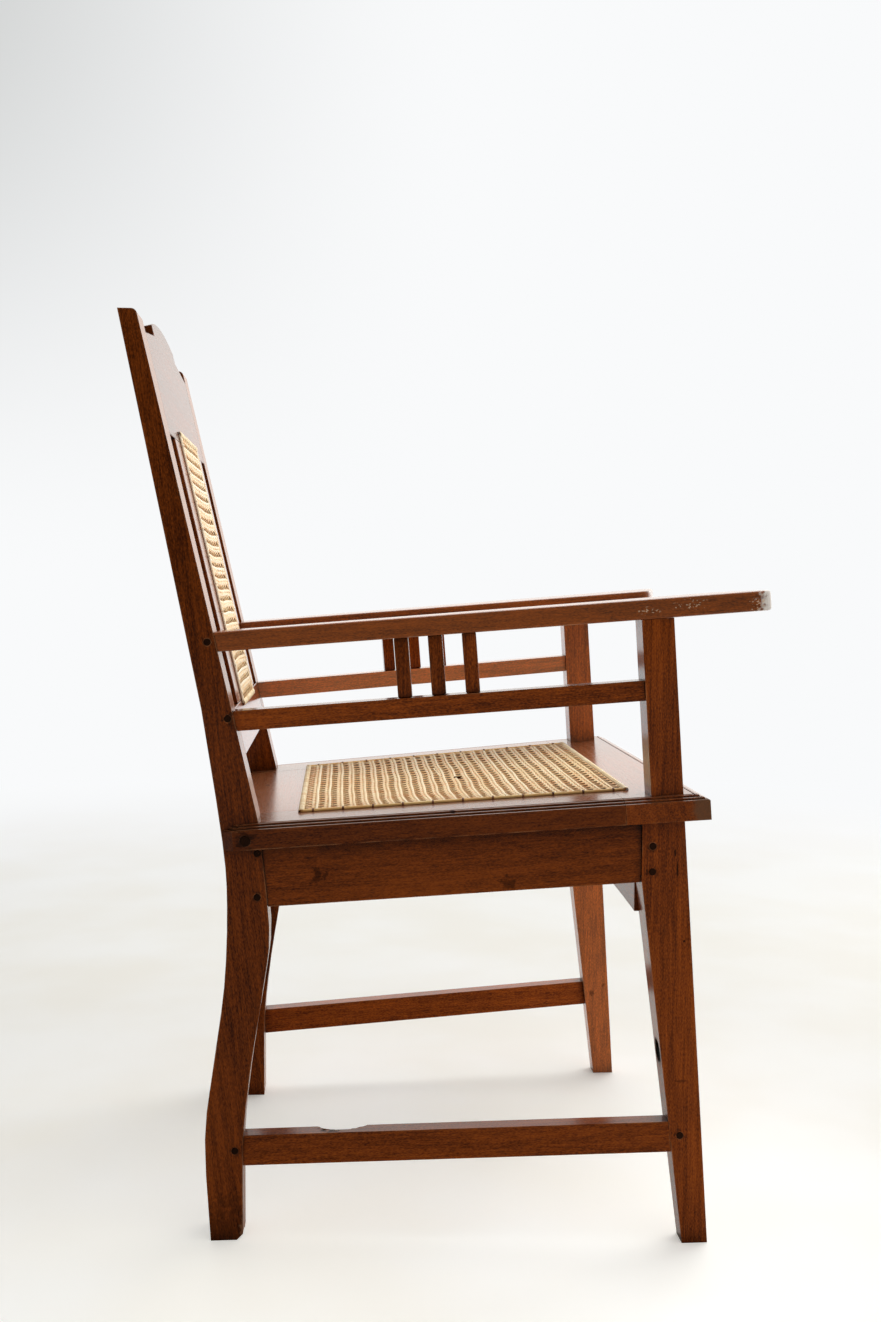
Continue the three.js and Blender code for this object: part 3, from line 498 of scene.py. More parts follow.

# %% [markdown]
# ## The teak finish
# Each stick of the chair gets its own material, because each was sawn from another place in the
# plank. On top of the grain lie the worn arrises, painted shade with dirt in the corners, and the
# single marks.
#
# Wax is the shader's coat. It shines on narrow faces and on the seat's top, while broad sides look
# deep and brown, so the coat's weight follows the way a face looks. Marks take it away. The tops of
# the seat boards and the front faces of the posts and legs face the light, and they are painted
# paler: a painted highlight.

# %% Teak finish
MM = 0.001
TEAK_LIGHT, TEAK_DARK = screen(172, 84, 26), screen(80, 32, 7)
# The worn tone, and the dark tone of painted shade with dirt
TEAK_WORN, TEAK_SHADE_AND_GRIME = screen(190, 132, 88), screen(26, 12, 6)
# Pale tones: painted light on the lit faces, and painted sheen with bleaching
TEAK_PAINTED_LIGHT, TEAK_BLEACH_AND_SHEEN = screen(172, 116, 80), screen(214, 170, 132)
PALE_DUST, DUST_AMOUNT = screen(236, 204, 172), 0.75
TIMBER_IOR = 1.12
WAX_ROUGHNESS, WAX_IOR = 0.16, 1.3
WAX_ON_EDGES, WAX_ON_SIDES = 0.95, 0.15
SEAT_WAX_ROUGHNESS, SEAT_WAX_IOR = 0.2, 1.8
WAX_ON_SEAT_TOP, WAX_ON_SEAT_SIDES = 1.0, 0.04
LOOKS_SIDEWAYS, LOOKS_THAT_WAY = (0.75, 0.96), (0.75, 0.95)
# How strongly painted shade with dirt darkens the corners, and how much it dulls them
CORNER_SHADE_AND_GRIME, GRIME_DULLS = 0.85, 0.3
ARRIS_REACH = 0.006
REED_REACH, REED_SHADE_AND_GRIME = 0.0022, 0.95
SHADE_REACH = 0.04
GRAIN_RELIEF = (0.22, 0.0006)


def grain_turn(direction):
    return tuple(Vector(direction).normalized().rotation_difference(Vector((0, 0, 1))).to_euler())


def toned(colour, share):
    return tuple(channel * share for channel in colour[:3]) + (1.0,)


def in_metres(lengths):
    return tuple(length * MM for length in lengths)


def marked(tree, colour, coat, marks, scuffs):
    for centre, size, tint, strength, ragged in marks:
        lump = grouped(tree, mark_group, Centre=in_metres(centre), Size=in_metres(size), Ragged=ragged)
        amount = times(tree, lump["Mask"], strength)
        colour = mixed(tree, amount, colour, tint)
        coat = times(tree, coat, less(tree, 1.0, amount))
    for centre, size in scuffs:
        flecks = grouped(tree, scuff_group, Centre=in_metres(centre), Size=in_metres(size))["Mask"]
        colour = mixed(tree, times(tree, flecks, DUST_AMOUNT), colour, PALE_DUST)
    return colour, coat


def teak(name, direction, seed, tone, painted_light, wax, board, shaded, bleach_and_sheen, marks, scuffs):
    material, tree, surface = new_material("teak_" + name)
    wood = grouped(tree, grain_group, Turn=grain_turn(direction), Seed=seed,
                   Light=toned(TEAK_LIGHT, tone), Dark=toned(TEAK_DARK, tone))
    normal = put(tree, "NewGeometry").outputs["Normal"]
    facing = put(tree, "SeparateXYZ", {0: normal}).outputs
    worn = grouped(tree, wear_group, Seed=seed)["Mask"]
    open_air = less(tree, 1.0, grouped(tree, shade_and_grime_group, Reach=ARRIS_REACH)["Mask"])
    # Painted shade with dirt: the wood darkens in corners and joints, where shade falls.
    shade_and_grime = grouped(tree, shade_and_grime_group, Amount=CORNER_SHADE_AND_GRIME)["Mask"]
    colour = mixed(tree, times(tree, worn, open_air), wood["Colour"], TEAK_WORN)
    colour = mixed(tree, shade_and_grime, colour, TEAK_SHADE_AND_GRIME)
    if board:
        # Painted shade with dirt: the grooves between the reeds darken in thin lines.
        narrow = grouped(tree, shade_and_grime_group, Reach=REED_REACH, Amount=REED_SHADE_AND_GRIME)["Mask"]
        colour = mixed(tree, narrow, colour, TEAK_SHADE_AND_GRIME)
        coat = spread(tree, facing["Z"], *LOOKS_THAT_WAY, WAX_ON_SEAT_SIDES, WAX_ON_SEAT_TOP)
        polish, polish_ior = SEAT_WAX_ROUGHNESS, SEAT_WAX_IOR
    else:
        sideways = sums(tree, "ABSOLUTE", facing["X"])
        coat = spread(tree, sideways, *LOOKS_SIDEWAYS, WAX_ON_EDGES * wax, WAX_ON_SIDES)
        polish, polish_ior = WAX_ROUGHNESS, WAX_IOR
    # Painted light: the boards' tops and the sticks' front faces, which look towards the lamps, are painted
    # paler.
    if painted_light:
        lit = facing["Z"] if board else times(tree, facing["Y"], -1.0)
        colour = mixed(tree, spread(tree, lit, *LOOKS_THAT_WAY, 0.0, painted_light), colour, TEAK_PAINTED_LIGHT)
    # Painted shadow: the side aprons darken under the seat boards' overhang, where their shadow falls.
    if shaded:
        deep = grouped(tree, shade_and_grime_group, Reach=SHADE_REACH, Amount=shaded)["Mask"]
        colour = mixed(tree, deep, colour, TEAK_SHADE_AND_GRIME)
    # Painted sheen on the far pieces, bleached dusty wood on the arms: both pale the colour.
    if bleach_and_sheen:
        colour = mixed(tree, bleach_and_sheen, colour, TEAK_BLEACH_AND_SHEEN)
    colour, coat = marked(tree, colour, coat, marks, scuffs)
    rough = weighed(tree, shade_and_grime, GRIME_DULLS, wood["Roughness"], clamp=True)
    satin(tree, surface, colour, rough, wood["Height"], GRAIN_RELIEF, **{
        "IOR": TIMBER_IOR, "Coat Weight": coat, "Coat Roughness": polish, "Coat IOR": polish_ior})
    return material


# %% [markdown]
# ## Grain and tone of each stick
# Posts, legs, slats and stiles stand, and so does their grain. The other sticks lie, and their
# grain follows the pitch of the piece. The far side's sticks are painted lighter than the near
# side's: painted light, for the brighter light that reaches their inner faces.

# %% Grain directions and tones
SEAT_PITCH = math.radians(4.35)
ARM_PITCH = math.radians(4.68)
STRETCHER_PITCH = math.radians(2.6)
BACK_RAKE = math.radians(13.5)


def pitched(angle):
    return (0, -math.cos(angle), math.sin(angle))


def leaning(angle):
    """The way up a leaning back, and the way it faces."""
    return (0, math.sin(angle), math.cos(angle)), (0, -math.cos(angle), math.sin(angle))


STANDING, LEANING = (0, 0, 1), (0, 0.12, 1)
CROSSWISE = (1, 0, 0)
# Each stick's grain, tone, times this on the far side as painted light, painted light on its lit face, and
# share of wax
STICKS = {
    "rear_post": (LEANING, 0.68, 1.1, 0.6, 0.7),
    "front_leg": (STANDING, 1.04, 1.72, 0.3, 1.0),
    "side_apron": (pitched(SEAT_PITCH), 0.74, 1.3, 0.0, 1.0),
    "side_stretcher": (pitched(STRETCHER_PITCH), 0.94, 1.3, 0.0, 1.0),
    "arm_rail": (pitched(ARM_PITCH), 0.98, 2.6, 0.0, 1.0),
    "arm": (pitched(ARM_PITCH), 0.90, 1.1, 0.0, 1.0),
    "arm_slat_1": (STANDING, 0.72, 1.3, 0.0, 1.0),
    "arm_slat_2": (STANDING, 0.80, 1.3, 0.0, 1.0),
    "arm_slat_3": (STANDING, 0.98, 1.3, 0.0, 1.0),
    "back_stile": (leaning(BACK_RAKE)[0], 0.78, 1.3, 0.0, 1.0),
    "crest_rail": (CROSSWISE, 0.60, 1.0, 0.0, 0.8),
    "lower_back_rail": (CROSSWISE, 0.95, 1.0, 0.0, 1.0),
    "front_apron": (CROSSWISE, 0.95, 1.0, 0.0, 1.0),
    "rear_apron": (CROSSWISE, 0.85, 1.0, 0.0, 1.0),
    "seat_side_board": (pitched(SEAT_PITCH), 0.48, 1.3, 0.45, 1.0),
    "seat_front_board": (CROSSWISE, 0.88, 1.0, 0.45, 1.0),
    "seat_rear_board": (CROSSWISE, 0.90, 1.0, 0.45, 1.0),
}
# The strength of the painted shadow under the seat boards on the side aprons
APRON_SHADED = 1.7
# How far a stick is paled: painted sheen on the far arm rail and far front leg, bleached wood on the arms
BLEACH_AND_SHEEN = {"arm_rail_left": 0.40, "front_leg_left": 0.16, "arm_left": 0.06, "arm_right": 0.07}
print("grain and tone for", len(STICKS), "kinds of stick")

# %% [markdown]
# ## Marks of use
# These show in the photograph: knots in the near apron, nicks and a gouge in the near leg, the
# gouge painted black inside as painted shade, pale noses on the arms, worn and with a painted
# highlight, the front board's rubbed end, stains in the near stretcher's dip, and the rear foot
# darker towards the floor. Each has a centre and a size in millimetres, a tint, a strength and how
# ragged its rim is. Every peg gets a dark soft stain round it.

# %% Marks
DARK_MARK, GOUGE_SHADE = screen(22, 10, 6), screen(3, 2, 1)
RUBBED, RUBBED_END, NOSE_WEAR_AND_HIGHLIGHT = screen(206, 150, 110), screen(112, 82, 60), screen(255, 248, 240)
MARKS = {
    "side_apron_right": [
        ((-223.8, 127.3, 378.3), (14, 11, 8), DARK_MARK, 0.6, 0.9),
        ((-240.9, -64.5, 371.9), (14, 8.5, 6), DARK_MARK, 0.55, 0.9),
    ],
    "front_leg_right": [
        ((-256, -233, 404), (6, 1.2, 4.5), DARK_MARK, 0.85, 0.2),
        ((-256, -235.5, 388), (6, 1.2, 10), DARK_MARK, 0.85, 0.2),
        ((-256, -243.5, 313.9), (6, 1.6, 1.6), DARK_MARK, 0.9, 0.2),
        ((-256, -242.7, 169.4), (6, 7.5, 1.6), DARK_MARK, 0.5, 0.5),
        # Painted shade: the inside of the gouge is painted black.
        ((-241.5, -220.5, 195.5), (15, 16, 17.5), GOUGE_SHADE, 1.0, 0.1),
    ],
    "front_leg_left": [((222, -258, 123.8), (10, 4, 6), DARK_MARK, 0.6, 0.4)],
    # Wear with a painted highlight: the arms' noses are painted near white, where they catch the window's
    # light.
    "arm_right": [((-270, -330, 660), (60, 20, 32), NOSE_WEAR_AND_HIGHLIGHT, 0.9, 0.45)],
    "arm_left": [((270, -330, 660), (60, 20, 32), NOSE_WEAR_AND_HIGHLIGHT, 0.9, 0.45)],
    "seat_front_board": [((-274, -265, 450), (16, 24, 30), RUBBED_END, 0.75, 0.15)],
    "seat_side_board_right": [
        ((-245.8, -7.8, 446.5), (8, 5, 3), DARK_MARK, 0.8, 0.3),
        ((-162.5, 142, 439), (1.2, 18, 8), DARK_MARK, 0.7, 0.3),
    ],
    "seat_side_board_left": [((162.5, 142, 439), (1.2, 18, 8), DARK_MARK, 0.7, 0.3)],
    "seat_rear_board": [((41.7, 190.9, 431.4), (3.5, 3.5, 4), DARK_MARK, 0.9, 0.2)],
    "side_stretcher_right": [
        ((-212, 113, 109), (15, 13, 6), DARK_MARK, 0.75, 0.8),
        ((-205, 95, 107.5), (12, 20, 5), DARK_MARK, 0.35, 0.8),
    ],
    "rear_post_right": [
        ((-221, 198.7, 10), (30, 9, 16), RUBBED, 0.4, 0.7),
        # Darker towards the floor at the rear foot
        ((-225, 220, -10), (40, 60, 60), DARK_MARK, 0.4, 0.5),
    ],
}
SCUFFS = {
    "arm_right": [
        ((-264, -243, 654.5), (30, 19, 6)), ((-262, -201, 648), (30, 13, 4)),
        ((-269, -309, 656), (30, 9, 14)),
    ],
    "arm_left": [((260, -230, 656), (40, 60, 6)), ((269, -309, 656), (30, 9, 14))],
}
PEG_HOSTS = {"rear": "rear_post", "arm": "rear_post", "front": "front_leg", "seat": "seat_side_board"}
STAIN_REACH, STAIN_DEPTH, STAIN_STRENGTH, STAIN_RAGGED = 2.1, 20, 0.55, 0.7
pegs = [node for node in nodes if "peg" in node or "plug" in node]


def stick_and_side(node):
    for side in ("_left", "_right"):
        if node.endswith(side):
            return node[: -len(side)], side
    return node, ""


def peg_stains(node):
    stains = []
    for peg in pegs:
        if PEG_HOSTS[peg.split("_")[0]] + stick_and_side(peg)[1] == node:
            low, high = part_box(peg)
            radius = (high.z - low.z) / MM / 2 * STAIN_REACH
            middle, size = (low + high) / 2 / MM, (STAIN_DEPTH, radius, radius)
            stains.append((middle, size, DARK_MARK, STAIN_STRENGTH, STAIN_RAGGED))
    return stains


print("marks for", len(MARKS), "sticks, scuffs for", len(SCUFFS), "arms")

# %% [markdown]
# ## Eased arrises
# The solids have knife-sharp arrises, and no real stick of furniture does. The model's meshes are
# triangles, so first the doubled points are welded and flat neighbours dissolved. Then a Bevel
# modifier rounds only the real edges. Modifiers leave the solid itself as it is.

# %% Rounded edges, and the teak put on
EASED, EASED_REEDS, EASED_PEGS = 0.0011, 0.0005, 0.0005
WELD_WITHIN = 0.00002
FLAT_ANGLE, EDGE_ANGLE = math.radians(0.6), math.radians(28)
SEED_STEP = 0.73


def ease(solid, width):
    weld = solid.modifiers.new("weld", "WELD")
    weld.merge_threshold = WELD_WITHIN
    flat = solid.modifiers.new("flatten", "DECIMATE")
    flat.decimate_type = "DISSOLVE"
    flat.angle_limit = FLAT_ANGLE
    bevel = solid.modifiers.new("ease", "BEVEL")
    bevel.width = width
    bevel.segments = 2
    bevel.limit_method = "ANGLE"
    bevel.angle_limit = EDGE_ANGLE
    bevel.use_clamp_overlap = True
    normals = solid.modifiers.new("normals", "WEIGHTED_NORMAL")
    normals.keep_sharp = True


def cover(solid, finish):
    solid.data.materials.clear()
    solid.data.materials.append(finish)


dressed = 0
for order, (node, solid) in enumerate(sorted(nodes.items())):
    stick, side = stick_and_side(node)
    if stick not in STICKS:
        continue
    direction, tone, far_painted_light, painted_light, wax = STICKS[stick]
    # Painted light: the far side's sticks are painted lighter.
    if side == "_left":
        tone *= far_painted_light
    board = stick.endswith("_board")
    cover(solid, teak(
        node, direction, 1.0 + SEED_STEP * order, tone, painted_light, wax, board,
        shaded=APRON_SHADED if stick == "side_apron" else 0.0, bleach_and_sheen=BLEACH_AND_SHEEN.get(node, 0.0),
        marks=MARKS.get(node, []) + peg_stains(node), scuffs=SCUFFS.get(node, ())))
    ease(solid, EASED_REEDS if board else EASED)
    dressed += 1
print("dressed", dressed, "sticks and boards in teak")

# %% [markdown]
# ## Dents
# Three places have lost wood: a gouge in the back of the near front leg, a worn dip in the top of
# the near stretcher, and the front corner of the near rear foot. A Boolean modifier takes a lumpy
# ball away from each, and the ball itself stays hidden.

# %% Dents
# Each ball's centre, radii and lumpiness, in millimetres
DENTS = {
    "front_leg_right": [((-241.5, -219.5, 195.5), (10.5, 6, 13), 1.0)],
    "side_stretcher_right": [
        ((-200.5, 103, 117.2), (21.5, 30, 11.2), 1.0), ((-210, 118, 113), (9, 8, 4), 1.0),
    ],
    "rear_post_right": [((-221, 181.4, -21.6), (60, 35, 35), 0.1)],
}
BALL_ROWS, BALL_COLUMNS = 14, 24
BROAD_LUMPS, FINE_LUMPS = 0.10, 0.06


def lumpy_ball(centre, radii, lumps, seed):
    points, faces = [], []
    for row in range(1, BALL_ROWS):
        for column in range(BALL_COLUMNS):
            tilt, turn = math.pi * row / BALL_ROWS, 2 * math.pi * column / BALL_COLUMNS
            broad = BROAD_LUMPS * math.sin(3 * turn + seed + 4 * tilt)
            swell = 1 + lumps * (broad + FINE_LUMPS * math.sin(5 * turn - seed + 7 * tilt))
            way = (math.sin(tilt) * math.cos(turn), math.sin(tilt) * math.sin(turn), math.cos(tilt))
            points.append([c + r * w * swell for c, r, w in zip(centre, radii, way)])
    top, bottom = len(points), len(points) + 1
    points += [[centre[0], centre[1], centre[2] + way * radii[2]] for way in (1, -1)]
    last = (BALL_ROWS - 2) * BALL_COLUMNS
    for column in range(BALL_COLUMNS):
        following = (column + 1) % BALL_COLUMNS
        faces += [(top, column, following), (bottom, last + following, last + column)]
        for row in range(BALL_ROWS - 2):
            upper, lower = row * BALL_COLUMNS, (row + 1) * BALL_COLUMNS
            faces.append((upper + column, lower + column, lower + following, upper + following))
    return points, faces


def dent(solid, name, points, faces):
    ball = add_mesh(name, points, faces)
    ball.hide_render = True
    cut = solid.modifiers.new("dent", "BOOLEAN")
    cut.operation = "DIFFERENCE"
    cut.solver = "EXACT"
    cut.object = ball
    solid.modifiers.move(len(solid.modifiers) - 1, 0)


for node, balls in DENTS.items():
    for number, (centre, radii, lumps) in enumerate(balls):
        ball = lumpy_ball(in_metres(centre), in_metres(radii), lumps, number + 1.0)
        dent(nodes[node], f"dent_{node}_{number}", *ball)
print("dented", ", ".join(DENTS))

# %% [markdown]
# ## Pegs
# The pegs are driven in endways, so their faces show end grain: darker than the wood round them,
# dull, with small rings. Their heads are nearly flush.

# %% Pegs
PEG_DARK, PEG_LIGHT = screen(14, 7, 3), screen(52, 27, 13)
PEG_SPECKS, PEG_RINGS, PEG_RING_SHARE = 900.0, 160.0, 0.35
PEG_SHADE_GRIME_REACH, PEG_SHADE_AND_GRIME = 0.004, 0.9
PEG_ROUGHNESS, SPECK_ROUGHNESS, PEG_RELIEF = 0.4, 0.25, (0.3, 0.0004)


def peg_finish():
    material, tree, surface = new_material("peg_end_grain")
    place = own_place(tree)
    specks = noise(tree, place, PEG_SPECKS, 3.0)
    rings = put(tree, "TexWave", {"Vector": place, "Scale": PEG_RINGS, "Distortion": 4.0},
                wave_type="BANDS").outputs["Fac"]
    specked = times(tree, specks, 1 - PEG_RING_SHARE)
    amount = weighed(tree, rings, PEG_RING_SHARE, specked, clamp=True)
    # Painted shade with dirt round each peg's head, in its hollow.
    shade_and_grime = grouped(tree, shade_and_grime_group, Reach=PEG_SHADE_GRIME_REACH, Amount=PEG_SHADE_AND_GRIME)["Mask"]
    colour = mixed(tree, shade_and_grime, mixed(tree, amount, PEG_DARK, PEG_LIGHT), TEAK_SHADE_AND_GRIME)
    rough = weighed(tree, specks, SPECK_ROUGHNESS, PEG_ROUGHNESS)
    satin(tree, surface, colour, rough, specks, PEG_RELIEF, IOR=TIMBER_IOR)
    return material


peg_material = peg_finish()
for node in pegs:
    cover(nodes[node], peg_material)
    ease(nodes[node], EASED_PEGS)
print(len(pegs), "pegs and plugs done")

# %% [markdown]
# ## Where the cane lies
# The seat's cane is a sheet in the plane of the seat boards, the back's in the plane of the back,
# and each sags where nothing carries it. Both are described in their own plane, in millimetres: x
# across the chair, y along the sheet and h square to it. One small class turns such a place into
# the model's frame, and takes its origin from the solid that it stands for.

# %% Sheets of cane
NET_LOW, NET_HIGH = 0.3, 1.9
# Each sheet's ends, opening, half widths of the opening, lip that lies on the wood, and sag
SEAT_SHAPE = (28.0, 372.0), (44.0, 356.0), (164.0, 190.0), 16.0, 7.0
BACK_SHAPE = (105.0, 412.5), (112.0, 400.5), (71.0, 71.0), 14.0, 3.0
SAG_FULLNESS = 0.8
RAKE_ROUNDS = 6


class Sheet:
    def __init__(self, origin, along, outward, shape):
        self.origin, self.along, self.outward = np.array(origin), np.array(along), np.array(outward)
        self.ends, self.opening, self.open_halves, self.lip, self.sag = shape

    def open_half_at(self, y):
        (low, high), (rear, front) = self.opening, self.open_halves
        return rear + (y - low) / (high - low) * (front - rear)

    def half_at(self, y):
        return self.open_half_at(y) + self.lip

    def sagged(self, x, y):
        low, high = self.opening
        middle, reach = (low + high) / 2, (high - low) / 2
        across = np.clip(1 - (x / self.open_half_at(y)) ** 2, 0, 1)
        down = np.clip(1 - ((y - middle) / reach) ** 2, 0, 1)
        return -self.sag * across ** SAG_FULLNESS * down ** SAG_FULLNESS

    def place(self, x, y, h):
        x, y, h = np.broadcast_arrays(x, y, h)
        level = h + self.sagged(x, y)
        sideways = np.multiply.outer(x, np.array((1.0, 0.0, 0.0)))
        climbing = np.multiply.outer(y, self.along) + np.multiply.outer(level, self.outward)
        return (sideways + climbing) * MM + self.origin


def sheet_for(node, along, outward, shape):
    low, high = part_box(node)
    deep, tall = ([end * along[axis] + level * outward[axis] for end in shape[0]
                   for level in (NET_LOW, NET_HIGH)] for axis in (1, 2))
    return Sheet((0, high.y - max(deep) * MM, low.z - min(tall) * MM), along, outward, shape)


def back_rake():
    """The net's own rake, which makes its box as deep and as tall as it is."""
    low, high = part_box("back_cane")
    deep, tall, thick = high.y - low.y, high.z - low.z, (NET_HIGH - NET_LOW) * MM
    rake = BACK_RAKE
    for _ in range(RAKE_ROUNDS):
        rake = math.atan2(deep - thick * math.cos(rake), tall - thick * math.sin(rake))
    return rake


seat_outward = (0, math.sin(SEAT_PITCH), math.cos(SEAT_PITCH))
seat = sheet_for("seat_cane", pitched(SEAT_PITCH), seat_outward, SEAT_SHAPE)
back = sheet_for("back_cane", *leaning(back_rake()), BACK_SHAPE)
print("seat cane origin", seat.origin.round(4), "back cane origin", back.origin.round(4))

# %% [markdown]
# ## A strand of cane
# Split cane is a flat strip of rattan bark, a little domed. Each strand is a ribbon with seven
# points round its section, closed at both ends. Its vertices keep how far along the strand they
# are, which strand they belong to and how shaded they are, so every strand gets its own tone.

# %% Ribbons
SECTION = np.array([
    (-0.5, -0.5), (0.5, -0.5), (0.5, 0.1), (0.4, 0.4), (0.0, 0.5), (-0.4, 0.4), (-0.5, 0.1)])
NARROWEST, WIDEST = 0.9, 1.08


def cane_piece(name, corners, faces, strand, material):
    piece = add_mesh(name, corners.tolist(), faces)
    mesh = piece.data
    attribute = mesh.attributes.new("strand", "FLOAT_VECTOR", "POINT")
    attribute.data.foreach_set("vector", strand.astype(np.float32).ravel())
    mesh.polygons.foreach_set("use_smooth", [True] * len(faces))
    mesh.materials.append(material)
    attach(piece, "root")
    print(name, sum(len(face) - 2 for face in faces), "triangles")
    return piece


def skin(here, onward, count):
    """Four-cornered faces between two rings of points, or between many such pairs."""
    point, following = np.arange(count), (np.arange(count) + 1) % count
    corners = [here + point, here + following, onward + following, onward + point]
    return np.stack(corners, -1).reshape(-1, 4).tolist()


def ribbon_piece(name, sheet, paths, across, width, thickness, material, seed):
    """Paths are arrays of x, y, h. The strands have their width in the direction across."""
    chance = np.random.default_rng(seed)
    corners, faces, marks = [], [], []
    count = len(SECTION)
    start = 0
    for path in paths:
        wide = width * chance.uniform(NARROWEST, WIDEST)
        offsets = np.outer(SECTION[:, 0] * wide, across) + np.outer(SECTION[:, 1] * thickness, (0, 0, 1))
        ring = path[:, None, :] + offsets[None, :, :]
        corners.append(sheet.place(ring[..., 0], ring[..., 1], ring[..., 2]).reshape(-1, 3))
        steps = np.linalg.norm(np.diff(path, axis=0), axis=1)
        run = np.repeat(np.concatenate([[0], np.cumsum(steps)]), count)
        marks.append(np.stack([run * MM, np.full(run.shape, chance.uniform()), np.zeros(run.shape)], 1))
        rings = start + np.arange(len(path) - 1)[:, None] * count
        faces.extend(skin(rings, rings + count, count))
        faces.append(list(range(start + count - 1, start - 1, -1)))
        start += len(path) * count
        faces.append(list(range(start - count, start)))
    return cane_piece(name, np.concatenate(corners), faces, np.concatenate(marks), material)


print("a strand has", len(SECTION), "points round it")

# %% [markdown]
# ## Cane finish
# Cane is pale and satiny. Strands differ in tone, and each is flecked. Where the loops cover the
# binding it is painted darker, and the gaps between strands get painted shade with some dirt. Each
# finish has a light and a deep tone, and the strength of its painted shade and dirt.

# %% Cane finish
CANES = {
    "pale": (screen(255, 240, 202), screen(238, 208, 152), 0.15),
    # Browner, for the rungs and diagonals: painted shade
    "stitch": (screen(255, 228, 172), screen(248, 190, 124), 0.3),
    "cream": (screen(255, 244, 218), screen(255, 224, 178), 0.1),
    "gold": (screen(255, 222, 146), screen(250, 190, 104), 0.05),
    "tie": (screen(150, 102, 58), screen(92, 56, 30), 0.3),
}
CANE_SHADED, SHADED_AMOUNT = screen(96, 56, 28), 0.85
# The tone and reach of painted shade with dirt in the cane's gaps
CANE_SHADE_AND_GRIME, CANE_SHADE_GRIME_REACH = screen(150, 88, 48), 0.0022
FLECK_SCALE, CLOUD_SCALE, ALONG_STRAND = 260.0, 22.0, (60, 37, 1)
OWN_TONE, FLECK_TONE, ALONG_TONE, CLOUD_TONE = 0.45, 0.35, 0.55, 0.6
TONE_RANGE = (0.35, 1.05)
CANE_ROUGHNESS, FLECK_ROUGHNESS = 0.34, 0.25
CANE_RELIEF = (0.15, 0.0003)


def cane_finish(name, light, deep, shade_and_grime_amount):
    material, tree, surface = new_material("cane_" + name)
    strand = put(tree, "Attribute", attribute_name="strand").outputs["Vector"]
    apart = put(tree, "SeparateXYZ", {0: strand}).outputs
    place = own_place(tree)
    fleck = noise(tree, place, FLECK_SCALE, 3.0)
    cloud = less(tree, noise(tree, place, CLOUD_SCALE, 2.0), 0.5)
    own = noise(tree, strand, 1.0, 2.0, ALONG_STRAND)
    amount = weighed(tree, apart["Y"], OWN_TONE, times(tree, fleck, FLECK_TONE))
    amount = weighed(tree, own, ALONG_TONE, amount)
    amount = weighed(tree, cloud, CLOUD_TONE, amount)
    colour = mixed(tree, spread(tree, amount, *TONE_RANGE), light, deep)
    # Painted shade: where the loops cover the binding, it is painted darker.
    colour = mixed(tree, times(tree, apart["Z"], SHADED_AMOUNT), colour, CANE_SHADED)
    # Painted shade with some dirt in the gaps between strands.
    shade_and_grime = grouped(tree, shade_and_grime_group, Reach=CANE_SHADE_GRIME_REACH, Amount=shade_and_grime_amount)["Mask"]
    colour = mixed(tree, shade_and_grime, colour, CANE_SHADE_AND_GRIME)
    rough = weighed(tree, fleck, FLECK_ROUGHNESS, CANE_ROUGHNESS)
    satin(tree, surface, colour, rough, fleck, CANE_RELIEF)
    return material


cane = {name: cane_finish(name, *look) for name, look in CANES.items()}
print("finishes:", ", ".join(cane))

# %% [markdown]
# ## Where strands run
# Bands are pairs of strands that cross the chair, and rungs are pairs that run along the sheet.
# Both are spaced evenly between the sheet's edges. All strands follow one gentle warp, so that
# crossings stay crossings, and each is cut where it leaves the sheet or meets the damage, a small
# worn hole near the seat's middle.

# %% Strand places
BAND_PITCH, RUNG_PITCH = 13.48, 16.5
BAND_BORDER, RUNG_BORDER = 15.0, 9.0
BAND_HALF, RUNG_HALF = 2.0, 1.75
SIDE_INSET, END_INSET = 2.6, 2.0
SHORTEST_RUN = 3
# Each sway of the warp: its height, and how fast it turns across and along the sheet
ALONG_SWAY, FINE_SWAY, ASIDE_SWAY = (1.5, 0.017, 0.011), (0.5, 0.06, -0.03), (1.2, 0.013, 0.021)
# The hole's middle across and along the seat, and its half width and half length
DAMAGE = (20.0, 213.0, 7.0, 4.2)


def pair_places(low, high, pitch, border):
    count = int((high - low - 2 * border) // pitch) + 1
    return (low + high) / 2 + (np.arange(count) - (count - 1) / 2) * pitch


def sway(x, y, amounts, turn):
    height, across, along = amounts
    return height * np.sin(across * x + along * y + turn)


def warped(sheet, x, y, seed):
    low, high = sheet.ends
    free = np.sin(np.pi * np.clip((y - low) / (high - low), 0, 1))
    along = sway(x, y, ALONG_SWAY, seed) + sway(x, y, FINE_SWAY, 2 * seed)
    aside = sway(x, y, ASIDE_SWAY, 3 * seed)
    return x + aside * free, y + along * free


def runs_inside(sheet, x, y, h, seed, damage):
    """The parts of a strand that lie on the sheet and outside the damage."""
    x, y = warped(sheet, x, y, seed)
    low, high = sheet.ends
    inside = (np.abs(x) < sheet.half_at(y) - SIDE_INSET) & (y > low + END_INSET) & (y < high - END_INSET)
    if damage:
        inside &= np.hypot((x - damage[0]) / damage[2], (y - damage[1]) / damage[3]) > 1
    ends = np.flatnonzero(np.diff(np.concatenate([[0], inside.astype(int), [0]])))
    path = np.stack([x, y, h], 1)
    return [path[start:stop] for start, stop in zip(ends[::2], ends[1::2]) if stop - start >= SHORTEST_RUN]


for sheet, label in ((seat, "seat"), (back, "back")):
    print("the", label, "has", len(pair_places(*sheet.ends, BAND_PITCH, BAND_BORDER)), "bands")

# %% [markdown]
# ## The weave
# This is six-way cane: bands, rungs, and a diagonal strand each way that ties them together round
# small eight-sided holes. The strands go over and under each other: the first of a rung's pair
# lies below, the second climbs over one crosswise strand and dives under the next, and each
# diagonal rides over one kind of pair and under the other. The rungs and diagonals are painted
# browner: painted shade, for they lie lower, between the bands.

